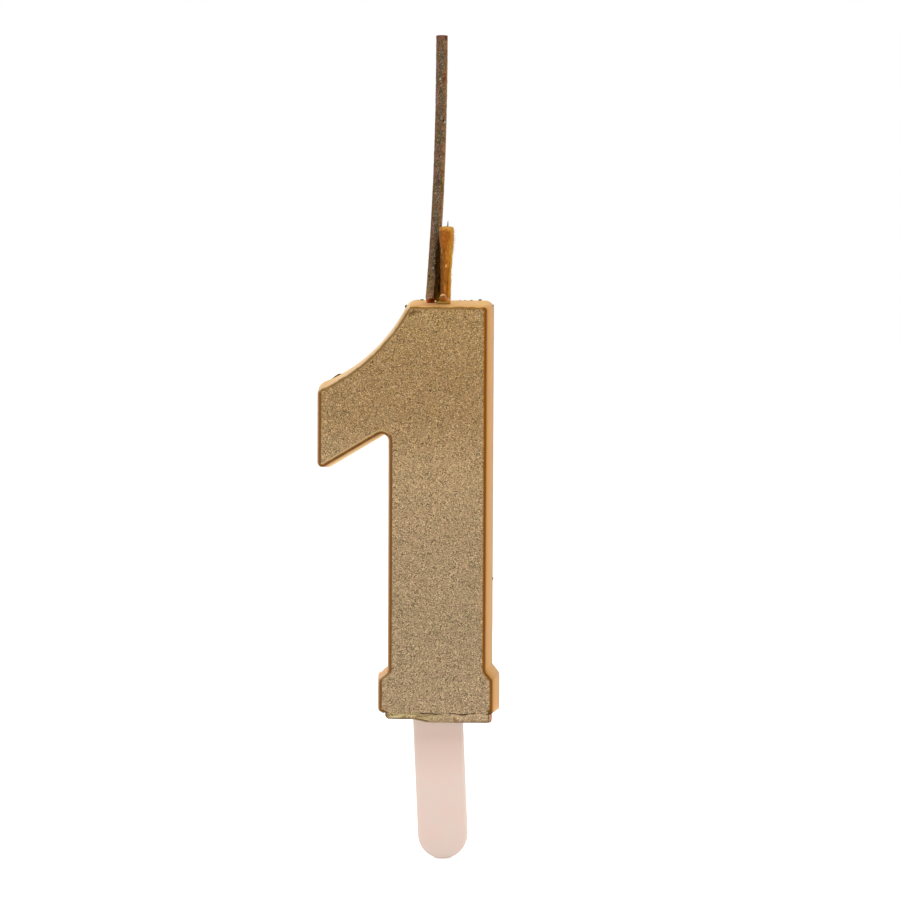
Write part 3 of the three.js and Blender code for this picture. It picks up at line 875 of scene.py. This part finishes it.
# Opening of the crack under that edge
SEAM_GAP = [
    (-2.8, -0.05), (-2.4, 0.09), (-1.6, 0.14), (-1.1, 0.11), (-0.5, 0.13), (0.4, 0.08), (0.8, -0.03),
    (1.7, -0.03), (2.0, 0.11), (3.1, 0.11), (3.8, 0.16), (4.3, 0.13), (4.7, 0.09), (5.1, 0.12), (5.8, 0.12),
    (6.2, 0.06), (6.4, -0.03), (7.3, -0.03), (7.6, 0.08), (7.95, 0.08),
]

# Lower edge of the lip
LIP_EDGE = [
    (-7.7, 0.92), (-7.45, 0.66), (-7.2, 0.48), (-5.5, 0.46), (-4.2, 0.47), (-3.6, 0.45), (-2.8, 0.36),
    (-2.2, 0.2), (-1.7, 0.08), (-1.2, 0.02), (0.2, 0.0), (7.7, 0.0), (8.0, 0.05), (8.24, 0.18),
    (8.38, 0.38),
]


def underside_z(x, y):
    """Height of the foot's underside, which falls towards the back."""
    wave = between(SEAM_LINE, x) - UNDERSIDE_Z
    front = 1 - smooth_step(FACE_Y + 0.4, FACE_Y + 2.5, y)
    return UNDERSIDE_Z + wave * front - UNDERSIDE_FALL * (y - FACE_Y)


def bevel_share(place):
    """1 where the face's edge is rounded, 0 over the lip, where the face runs straight down."""
    if place.y > UNDERSIDE_Z + FOOT_CORNER or place.x > FOOT_RIGHT_X - CORNER_NEARNESS:
        return 1.0
    if place.x > 0:
        return 0.0
    return 1 - smooth_step(FOOT_LEFT_X + FOOT_CORNER, LIP_LEFT_X + 0.2, place.x)


def wall_share(place, outward):
    """Share of the walls' lean at a place: less on the left shoulder and on the hollow curve."""
    rising = smooth_step(0.2, 0.5, outward.y) if outward.x < -0.2 else 0.0
    if place.y < FLAG_BOTTOM_Z - 1:
        return 1 - SHOULDER_UPRIGHTNESS * rising
    along = (place.x - FLAG_LEFT_X) / (TOP_LEFT_X - FLAG_LEFT_X)
    middle = max(0.0, 4 * along * (1 - along))
    return 1 - CURVE_UPRIGHTNESS * rising * middle


def numeral_ring(outline, offset, y, margin=0.0):
    """The outline at depth y, moved outwards by offset and then drawn in evenly by margin."""
    ring = []
    for place, outward in outline:
        grown = offset * (bevel_share(place) if offset < 0 else wall_share(place, outward))
        if margin == 0 and y > FACE_Y + BEVEL_DEPTH:
            grown += WALL_UNEVENNESS * lump(place.x, y, place.y, 0.35)
        on_underside = place.y < UNDERSIDE_Z + 0.01
        if on_underside and place.x > FOOT_RIGHT_X - CORNER_NEARNESS:
            outward = Vector((1.0, 0.0))
        at = place + outward * (grown - margin)
        low = underside_z(at.x, y) + margin
        if not on_underside:
            low = max(at.y, low)
        elif outward.y < -0.99:
            low += max(0.0, -grown)
        ring.append((at.x, y, low))
    return ring


def numeral_casting():
    """Cast body: the face, its rounded edge, the leaning walls and the back, with the pick's slot."""
    outline = numeral_outline()
    rings = [numeral_ring(outline, -BEVEL_WIDTH, FACE_Y, FACE_MARGIN)]
    for step, (falling, rising) in enumerate(quarter(BEVEL_STEPS)):
        offset = -BEVEL_WIDTH * falling + BEVEL_OVERLAP * step / BEVEL_STEPS
        rings.append(numeral_ring(outline, offset, FACE_Y + BEVEL_DEPTH * rising))
    bevel_end = len(rings) - 1
    draft_end = BACK_Y - BACK_LAND
    for step in range(1, WALL_RINGS + 1):
        y = FACE_Y + BEVEL_DEPTH + (draft_end - FACE_Y - BEVEL_DEPTH) * step / WALL_RINGS
        rings.append(numeral_ring(outline, DRAFT_SPREAD * (y - FACE_Y) / (draft_end - FACE_Y), y))
    for falling, rising in quarter(BACK_EDGE_STEPS):
        offset = DRAFT_SPREAD - BACK_EDGE_RADIUS * rising
        rings.append(numeral_ring(outline, offset, BACK_Y - BACK_EDGE_RADIUS * falling))
    rings.append(numeral_ring(outline, DRAFT_SPREAD - BACK_EDGE_RADIUS, BACK_Y, BACK_MARGIN))
    bands = [0] + [1] * (bevel_end - 1) + [2] * (len(rings) - 1 - bevel_end)
    slots = [band for band in bands for _ in outline] + [0, 2]
    materials = [SANDY_GOLD, SHADED_EDGE_PAINT, SATIN_GOLD, BARE_WAX]
    piece = loft_piece("numeral_casting", rings, materials, slots)
    cut(piece, slot_cutter())
    return piece


def pick_ring(radius, y, steps):
    """Points round the tilted pick's outline at depth y, both ends fully round."""
    turn = Matrix.Rotation(-PICK_TILT, 3, "Y")
    ring = []
    for centre_z, start in ((PICK_EMBED - PICK_RADIUS, 0.0), (PICK_RADIUS - PICK_REACH, math.pi)):
        for step in range(steps + 1):
            angle = start + math.pi * step / steps
            point = Vector((radius * math.cos(angle), y, centre_z + radius * math.sin(angle)))
            ring.append(tuple(turn @ point))
    return ring


def slot_cutter():
    """Pick's slot as a solid, whose faces take the pieces' fourth material."""
    reach = PICK_HALF_THICKNESS + SLOT_CLEARANCE
    rings = [pick_ring(PICK_RADIUS + SLOT_CLEARANCE, y, SLOT_END_STEPS) for y in (-reach, reach)]
    return loft_piece("slot_cutter", rings, [BARE_WAX] * 4, [3] * (len(rings[0]) + 2))


def pick_blade():
    """Flat pick with rounded edges."""
    profile = [(PICK_EDGE_RADIUS + 0.15, -PICK_HALF_THICKNESS)]
    for falling, rising in quarter(PICK_EDGE_STEPS):
        profile.append((PICK_EDGE_RADIUS * falling, -PICK_HALF_THICKNESS + PICK_EDGE_RADIUS * rising))
    profile += [(inset, -y) for inset, y in reversed(profile)]
    rings = [pick_ring(PICK_RADIUS - inset, y, PICK_END_STEPS) for inset, y in profile]
    return loft_piece("pick_blade", rings, [PINK_PLASTIC])


def lip_section(x, squeeze):
    """Points round the lip at a place along it; squeeze draws it in towards its middle at the ends."""
    edge = between(LIP_EDGE, x) + 0.03 * lump(x, 0, 0, 1.1, 3.0)
    front_top = underside_z(x, FACE_Y) - between(SEAM_GAP, x)
    bulge = 0.05 + 0.04 * lump(x, 0, 0, 0.8, 7.0)
    middle = (front_top + edge) / 2
    back_top = underside_z(x, LIP_BACK_Y) + 0.05
    points = [
        (FACE_Y + 0.25, front_top + 0.02),
        (FACE_Y + 0.03, front_top - 0.02),
        (FACE_Y - bulge * 0.7, front_top - 0.12),
        (FACE_Y - bulge, middle),
        (FACE_Y - bulge * 0.6, edge + 0.2),
        (FACE_Y + 0.06, edge + 0.08),
        (FACE_Y + 0.2, edge + 0.01),
        (FACE_Y + 0.5, edge),
    ]
    for step in range(1, 12):
        y = FACE_Y + 0.5 + (LIP_BACK_Y - 0.6 - FACE_Y) * step / 12
        points.append((y, edge + 0.04 * max(0.0, lump(x, y, 0, 0.7, 5.0))))
    points += [
        (LIP_BACK_Y - 0.15, edge + 0.02),
        (LIP_BACK_Y - 0.02, edge + 0.12),
        (LIP_BACK_Y, (edge + back_top) / 2),
        (LIP_BACK_Y - 0.1, back_top),
        (0.0, (front_top + back_top) / 2 + 0.02),
    ]
    recede = 0.05 * smooth_step(LIP_RIGHT_X - 4.0, LIP_RIGHT_X, x)
    return [
        (x - recede * (y - FACE_Y), y * (1 - 0.05 * squeeze), middle + (z - middle) * (1 - squeeze))
        for y, z in points
    ]


def seal_lip():
    """Rough poured lip under the foot."""
    first = LIP_LEFT_X + LIP_END
    last = LIP_RIGHT_X - LIP_END
    stations = [(LIP_LEFT_X, 0.7), (LIP_LEFT_X + 0.04, 0.35), (LIP_LEFT_X + 0.12, 0.1)]
    stations += [(first + (last - first) * step / LIP_STATIONS, 0.0) for step in range(LIP_STATIONS + 1)]
    stations += [(LIP_RIGHT_X - 0.12, 0.06), (LIP_RIGHT_X - 0.04, 0.25), (LIP_RIGHT_X, 0.55)]
    rings = [lip_section(x, squeeze) for x, squeeze in stations]
    piece = loft_piece("seal_lip", rings, [LIP_GOLD, LIP_GOLD, LIP_GOLD, BARE_WAX])
    cut(piece, slot_cutter())
    return piece


# Wick's centre line and its radius at each height
WICK_AXIS = [
    (62.4, 0.825), (63.7, 0.83), (64.8, 0.839), (66.3, 0.855), (67.8, 0.872), (69.0, 0.904), (70.8, 0.963),
    (72.3, 0.99), (73.5, 0.985), (74.1, 0.96),
]
WICK_RADIUS = [
    (62.4, 0.8), (63.7, 0.805), (64.8, 0.82), (66.3, 0.84), (67.8, 0.866), (69.0, 0.93), (70.8, 1.02),
    (72.3, 1.08), (73.5, 1.1), (74.1, 1.08),
]


def wick_axis_x(z):
    return between(WICK_AXIS, z)


def wick_radius(z):
    return between(WICK_RADIUS, z)


def wick_strand(index):
    """One strand of the wick, pressed against the others, with its twisted plies."""
    rings = []
    top = WICK_TOP_Z - (0.05, 0.3, 0.15)[index]
    for row in range(STRAND_ROWS + 1):
        z = WICK_START_Z + (top - WICK_START_Z) * row / STRAND_ROWS
        whole = wick_radius(z) * (0.97 - 0.4 * smooth_step(STRAND_ROWS - 3, STRAND_ROWS, row))
        turn = 2 * math.pi * (index / STRANDS + (z - TOP_Z) / STRAND_PITCH) + STRAND_START
        corners = []
        for step in range(2 * STRAND_HALF_STEPS + 1):
            share = step / STRAND_HALF_STEPS - 1
            angle = turn + share * 0.97 * math.pi / STRANDS
            ply = math.cos(PLIES * (angle + 2 * math.pi * z / PLY_PITCH))
            radius = whole * (1 - 0.16 * abs(share) ** 5) * (1 + 0.02 * ply)
            radius *= 1 + 0.03 * lump(math.cos(angle), math.sin(angle), z, 1.5)
            radius += 0.05 * lump(math.cos(angle), math.sin(angle), z, 3.3, 4.0)
            corners.append((radius, angle))
        corners += [(0.55 * whole, turn + 0.9), (0.1 * whole, turn), (0.55 * whole, turn - 0.9)]
        rings.append([
            (wick_axis_x(z) + radius * math.cos(angle), WICK_Y + radius * math.sin(angle), z)
            for radius, angle in corners
        ])
    return loft_piece("wick_strand_%d" % (index + 1), rings, [WAXED_COTTON])


def wick_cap():
    """Smooth waxed end of the wick, with a ragged lower edge and an uneven top."""
    rings = []
    for rise, share in (
        (0.0, 0.7), (0.05, 0.9), (0.25, 0.97), (0.6, 1.0), (1.2, 1.0), (1.8, 1.0), (2.3, 1.0),
        (2.52, 0.985), (2.66, 0.94), (2.78, 0.82), (2.86, 0.65), (2.9, 0.45),
    ):
        z = WICK_TOP_Z - CAP_REACH + rise
        ring = []
        for angle, c, s in around(CAP_SIDES):
            tongues = 0.35 * math.cos(3 * angle + 0.6) + 0.3 * lump(c, s, 0, 1.6)
            sag = (0.1 + tongues) * (1 - rise / CAP_REACH)
            radius = wick_radius(z) * share * (1 + 0.02 * lump(c, s, rise, 1.3))
            radius += 0.05 * lump(c, s, rise, 3.3)
            uneven = 0.12 * lump(c * 2, s * 2, 1, 1.9) * smooth_step(2.3, CAP_REACH, rise)
            ring.append((wick_axis_x(z) + radius * c, WICK_Y + radius * s, z - sag + uneven))
        rings.append(ring)
    return loft_piece("wick_cap", rings, [WICK_WAX])


def hair(points, faces, path, radius):
    """Adds one thin tapering fibre along a path."""
    rings = []
    for number, (x, y, z) in enumerate(path):
        r = radius * (1 - 0.7 * number / (len(path) - 1))
        rings.append([
            (x + r * math.cos(a), y + r * math.sin(a), z + 0.3 * r * math.cos(2 * a))
            for a in (0.0, 2.0944, 4.1888)
        ])
    add_skin(points, faces, rings)


def wick_fuzz():
    """Loose cotton fibres, mostly on the side away from the fuse and round the top."""
    rng = random.Random(11)
    points, faces = [], []
    for number in range(SIDE_FIBRES):
        heights = (63.2, WICK_TOP_Z - 0.1) if number % 3 else (WICK_TOP_Z - 3.6, WICK_TOP_Z - 0.05)
        z = rng.uniform(*heights)
        angle = rng.gauss(0.0, 0.75) if number % 4 else rng.uniform(-math.pi, math.pi)
        if abs(angle) > 2.4:
            angle *= 0.4
        radius = wick_radius(z) - 0.06
        x = wick_axis_x(z) + radius * math.cos(angle)
        y = WICK_Y + radius * math.sin(angle)
        reach = rng.uniform(0.08, 0.3) if number % 9 else rng.uniform(0.35, 0.6)
        rise = rng.uniform(-0.35, 0.5)
        curl = rng.uniform(-0.5, 0.5)
        path = []
        for share in (0.0, 0.25, 0.5, 0.75, 1.0):
            out = reach * share
            path.append((
                x + out * math.cos(angle + curl * share),
                y + out * math.sin(angle + curl * share),
                z + rise * share + 0.12 * math.sin(3 * share + number),
            ))
        hair(points, faces, path, rng.uniform(0.018, 0.036))
    for x, z, reach, rise in (
        (2.0, 72.1, 0.3, 0.2), (1.9, 70.9, 0.25, 0.1), (1.6, 66.1, 0.2, 0.2), (1.55, 64.4, 0.3, 0.25),
    ):
        path = [(x + reach * step / 4, WICK_Y, z + rise * (step / 4) ** 2) for step in range(5)]
        hair(points, faces, path, 0.05)
    for _ in range(TOP_FIBRES):
        angle = rng.uniform(-math.pi, math.pi)
        radius = rng.uniform(0.55, 1.02)
        c, s = math.cos(angle), math.sin(angle)
        x = WICK_TOP_X + radius * c
        y = WICK_Y + radius * s
        z = WICK_TOP_Z - 0.12
        height = rng.uniform(0.05, 0.2)
        path = [(x + 0.04 * step * c, y + 0.04 * step * s, z + height * step / 3) for step in range(4)]
        hair(points, faces, path, rng.uniform(0.02, 0.035))
    return new_piece("wick_fuzz", points, faces, [COTTON_FUZZ])


def core_thread():
    """Thin core of the wick, whose tip stands out of the top."""
    rings = []
    for row in range(CORE_ROWS + 1):
        z = WICK_START_Z + (WICK_TOP_Z + CORE_RISE - WICK_START_Z) * (row / CORE_ROWS)
        out = smooth_step(70.0, WICK_TOP_Z, z)
        x = wick_axis_x(z) + 0.17 * out + 0.05 * max(0.0, z - WICK_TOP_Z)
        radius = CORE_RADIUS - 0.085 * max(0.0, (z - WICK_TOP_Z - 0.2) / 0.78)
        rings.append([(x + radius * c, WICK_Y + radius * s, z) for _, c, s in around(8)])
    return loft_piece("core_thread_tip", rings, [CORE_THREAD])


def ball_rings(centre, size, seed, roughness):
    """Rings of a small irregular ball; size is its three half axes."""
    rows = 9
    rings = []
    for row in range(1, rows):
        up = math.pi * (row / rows - 0.5)
        ring = []
        for _, c, s in around(14):
            direction = (math.cos(up) * c, math.cos(up) * s, math.sin(up))
            swell = 1 + roughness * lump(*direction, 1.4, seed)
            ring.append(tuple(m + h * d * swell for m, h, d in zip(centre, size, direction)))
        rings.append(ring)
    return rings


def ball_piece(name, balls, material, more=None):
    """Piece of balls of (centre, half axes, seed, roughness), with more, the rings of one further skin."""
    points, faces = [], []
    for ball in balls:
        add_skin(points, faces, ball_rings(*ball))
    if more:
        add_skin(points, faces, more)
    return new_piece(name, points, faces, [material])


def edge_chip():
    """Rings of the dark flake of flash on the flag's back edge."""
    rings = []
    for x, top, base in (
        (-16.8, 50.98, 50.8), (-16.5, 51.22, 50.9), (-16.05, 51.56, 51.1), (-15.6, 51.84, 51.3),
        (-15.2, 51.86, 51.4), (-15.0, 51.8, 51.5), (-14.9, 51.76, 51.6),
    ):
        rings.append([
            (x, 5.0, base), (x, 5.1, (base + top) / 2), (x, 5.5, top),
            (x, 5.9, top - 0.02), (x, 6.0, (base + top) / 2), (x, 5.96, base),
        ])
    return rings


def resin_and_shade_web():
    """Rings of the thin web of resin that fills the gap between the fuse and the wick; its near black
    colour is painted shade.
    """
    rings = []
    rows = 24
    for row in range(rows + 1):
        z = 62.5 + 8.2 * row / rows
        left = fuse_axis_x(z) + 0.45 * FUSE_RADIUS
        right = wick_axis_x(z) - 0.6 * wick_radius(z)
        thick = 0.22 * (1 - 0.6 * row / rows)
        middle = 0.9 + 0.1 * lump(0, 0, z, 0.6)
        rings.append([
            (left, middle + 0.4 - thick, z),
            ((left + right) / 2, middle - 1.1 * thick, z),
            (right, middle - 0.3 - thick, z),
            (right, middle - 0.3 + thick, z),
            ((left + right) / 2, middle + 1.1 * thick, z),
            (left, middle + 0.4 + thick, z),
        ])
    return rings


def fuse_axis_x(z):
    if z < TOP_Z:
        return FUSE_X + FUSE_SHIFT * FUSE_STRAIGHTENING / FUSE_RISE * (z - TOP_Z)
    left_to_go = max(0.0, (TOP_Z + FUSE_RISE - z) / FUSE_RISE)
    return FUSE_X + FUSE_SHIFT * (1 - left_to_go ** FUSE_STRAIGHTENING)


def fuse_rod():
    """Rough rod of dried paste."""
    top = TOP_Z + FUSE_RISE
    height = top - 0.16 - FUSE_START_Z
    levels = [(FUSE_START_Z + height * row / FUSE_ROWS, 1.0) for row in range(FUSE_ROWS + 1)]
    levels += [(top - 0.1, 0.96), (top - 0.05, 0.82), (top - 0.01, 0.55), (top, 0.3)]
    rings, sideways = [], []
    for z, share in levels:
        whole = FUSE_RADIUS * share
        seated = 0.6 + 0.4 * smooth_step(TOP_Z - 0.1, TOP_Z + 1.3, z)
        ring = []
        for _, c, s in around(FUSE_SIDES):
            swell = 1 + 0.03 * lump(c, s, z, 0.9) + 0.03 * lump(c, s, z, 2.6, 3.0)
            swell += 0.015 * lump(c, s, z, 6.0, 9.0)
            radius = whole * swell * seated
            ring.append((fuse_axis_x(z) + radius * c, FUSE_Y + radius * s, z))
            sideways.append(c * min(1.0, share + 0.1))
        rings.append(ring)
    piece = loft_piece("fuse_rod", rings, [SPARK_PASTE])
    layer = piece.data.attributes.new("side", "FLOAT", "POINT")
    layer.data.foreach_set("value", sideways)
    return piece


SANDY_GOLD = sandy_gold()
SHADED_EDGE_PAINT = shaded_edge_paint()
SATIN_GOLD = satin_gold()
BARE_WAX = bare_wax()
LIP_GOLD = lip_gold()
PINK_PLASTIC = pink_plastic()
WAXED_COTTON = waxed_cotton()
WICK_WAX = wax_cap_paint()
COTTON_FUZZ = fuzz()
CORE_THREAD = core_thread_paint()
AMBER_WAX = amber_wax()
PALE_WAX = pale_wax()
SPARK_PASTE = spark_paste()
RESIN_AND_SHADE = dark_resin()
FLASH_GOLD = flash_gold()
BARE_WIRE = bare_wire()


def build_candle():
    """All pieces that ride with the numeral."""
    casting = numeral_casting()
    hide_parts("number_body")
    flash = ball_piece("edge_flash", [
        ((-5.3, 5.2, 62.1), (0.27, 0.3, 0.26), 1.0, 0.2),
        ((-3.0, 5.75, 63.08), (0.34, 0.14, 0.13), 2.0, 0.3),
        ((-3.65, 5.85, 63.04), (0.3, 0.12, 0.08), 2.5, 0.3),
        ((2.75, 5.9, 63.02), (0.26, 0.12, 0.1), 3.0, 0.3),
        ((3.5, 5.9, 63.06), (0.15, 0.1, 0.07), 3.5, 0.3),
        ((4.5, 5.9, 63.07), (0.2, 0.12, 0.09), 4.0, 0.3),
        ((5.8, 5.9, 63.13), (0.26, 0.12, 0.14), 5.0, 0.3),
        ((7.76, 5.8, 62.2), (0.14, 0.14, 0.24), 6.0, 0.3),
        ((7.93, 5.85, 20.9), (0.1, 0.12, 0.22), 7.0, 0.3),
    ], FLASH_GOLD, edge_chip())
    lip = seal_lip()
    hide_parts("foot_seal")
    strands = [wick_strand(index) for index in range(STRANDS)]
    cap = wick_cap()
    loose = wick_fuzz()
    for piece in strands:
        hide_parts("wick")
    thread = core_thread()
    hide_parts("wick_core")
    bead = ball_piece("foot_bead", [((0.55, -1.25, 63.6), (0.6, 0.42, 0.62), 8.0, 0.12)], AMBER_WAX)
    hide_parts("wick_bead")
    collar = ball_piece("wick_foot_wax", [
        ((0.5, -0.8, 62.8), (1.02, 0.85, 0.42), 9.0, 0.2),
        ((1.22, -0.95, 63.15), (0.32, 0.4, 0.55), 9.2, 0.2),
    ], AMBER_WAX)
    dot = ball_piece("wax_dot", [((-0.67, 0.6, 63.0), (0.17, 0.17, 0.17), 9.5, 0.15)], PALE_WAX)
    rod = fuse_rod()
    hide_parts("sparkler_fuse")
    # The resin drop, with the web whose dark colour is painted shade
    drop = ball_piece("resin_drop_and_shade_web", [
        ((-1.44, 1.25, 63.08), (0.6, 0.42, 0.4), 10.0, 0.25),
        ((-0.98, 1.4, 62.95), (0.35, 0.35, 0.3), 10.5, 0.25),
    ], RESIN_AND_SHADE, resin_and_shade_web())
    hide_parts("fuse_drop")
    for piece in [casting, flash, lip, *strands, cap, loose, thread, bead, collar, dot, rod, drop]:
        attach(piece, "candle")


def build_pick():
    blade = pick_blade()
    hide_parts("pick")
    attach(blade, "planted_pick")


def dress_wire():
    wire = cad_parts["fuse_wire"]
    wire.data.materials.clear()
    wire.data.materials.append(BARE_WIRE)


def camera():
    """Camera at the photograph's place, a little right of the face and above it."""
    azimuth = math.radians(CAMERA_AZIMUTH)
    elevation = math.radians(CAMERA_ELEVATION)
    roll = math.radians(CAMERA_ROLL)
    forward = Vector((
        -math.sin(azimuth) * math.cos(elevation),
        math.cos(azimuth) * math.cos(elevation),
        -math.sin(elevation),
    ))
    level = Vector((math.cos(azimuth), math.sin(azimuth), 0.0))
    upright = level.cross(forward)
    right = math.cos(roll) * level + math.sin(roll) * upright
    up = math.cos(roll) * upright - math.sin(roll) * level
    data = bpy.data.cameras.new("photo_camera")
    data.sensor_fit = "HORIZONTAL"
    data.sensor_width = 36.0
    data.lens = CAMERA_LENS
    data.clip_start = 0.01
    data.clip_end = 20.0
    eye = bpy.data.objects.new("photo_camera", data)
    turn = Matrix((right, up, -forward)).transposed()
    eye.matrix_world = Matrix.Translation(Vector(CAMERA_EYE) * MM) @ turn.to_4x4()
    bpy.context.scene.collection.objects.link(eye)
    bpy.context.scene.camera = eye


def seen_directly(nodes):
    """1 for camera, glossy and transmission rays, 0 for the light that falls on things."""
    rays = nodes.outputs("ShaderNodeLightPath")
    total = rays["Is Camera Ray"]
    for name in ("Is Glossy Ray", "Is Transmission Ray"):
        total = nodes.math("ADD", total, rays[name], clamp=True)
    return total


def surroundings():
    """White world and a pale floor under the pick's tip."""
    world = bpy.data.worlds.new("studio")
    bpy.context.scene.world = world
    world.use_nodes = True
    sky = Nodes(world.node_tree)
    background = sky.tree.nodes["Background"]
    sky.put((255, 255, 255), background.inputs["Color"])
    sky.put(AMBIENT, background.inputs["Strength"])
    ambient = Value(sky, background.outputs[0])
    backdrop = sky.wire("ShaderNodeBackground", {"Color": (255, 255, 255), "Strength": 1.0})
    shown = sky.wire("ShaderNodeMixShader", {0: seen_directly(sky), 1: ambient, 2: backdrop})
    sky.put(shown, sky.tree.nodes["World Output"].inputs[0])

    paint = Paint("pale_floor", roughness=0.9)
    paint.finish(paint.mix(paint.noise(0.02), (236, 236, 236), (240, 240, 240)))
    plain = Value(paint, paint.shader.outputs[0])
    glow = paint.wire("ShaderNodeEmission", {"Strength": FLOOR_GLOW})
    glowing = paint.wire("ShaderNodeAddShader", {0: plain, 1: glow})
    shown = paint.wire("ShaderNodeMixShader", {0: seen_directly(paint), 1: plain, 2: glowing})
    paint.put(shown, paint.tree.nodes["Material Output"].inputs[0])
    low = -(PICK_REACH - PICK_RADIUS) * math.cos(PICK_TILT) - PICK_RADIUS - 0.02
    front = -FLOOR_REACH
    points = [(x, front, low) for x in (-FLOOR_REACH, FLOOR_REACH)]
    points += [(x, FLOOR_REACH_BEHIND, low) for x in (FLOOR_REACH, -FLOOR_REACH)]
    floor = new_piece("floor", points, [(0, 1, 2, 3)], [paint.material])


def lamp(name, place, aim, size, power):
    """Soft square lamp; place, aim and size in millimetres, power in watts."""
    data = bpy.data.lights.new(name, "AREA")
    data.shape = "SQUARE"
    data.size = size * MM
    data.energy = power
    made = bpy.data.objects.new(name, data)
    made.location = Vector(place) * MM
    made.rotation_euler = (Vector(aim) - Vector(place)).to_track_quat("-Z", "Y").to_euler()
    bpy.context.scene.collection.objects.link(made)


def lights():
    middle = (-3, 0, 45)
    lamp("top_light", (0, 150, 900), middle, 700, 3.0)
    lamp("left_light", (-800, -700, 350), middle, 600, 2.4)
    lamp("right_light", (850, -500, 250), middle, 600, 2.4)


build_candle()
build_pick()
dress_wire()
camera()
surroundings()
lights()
bpy.context.scene.view_settings.view_transform = "Standard"
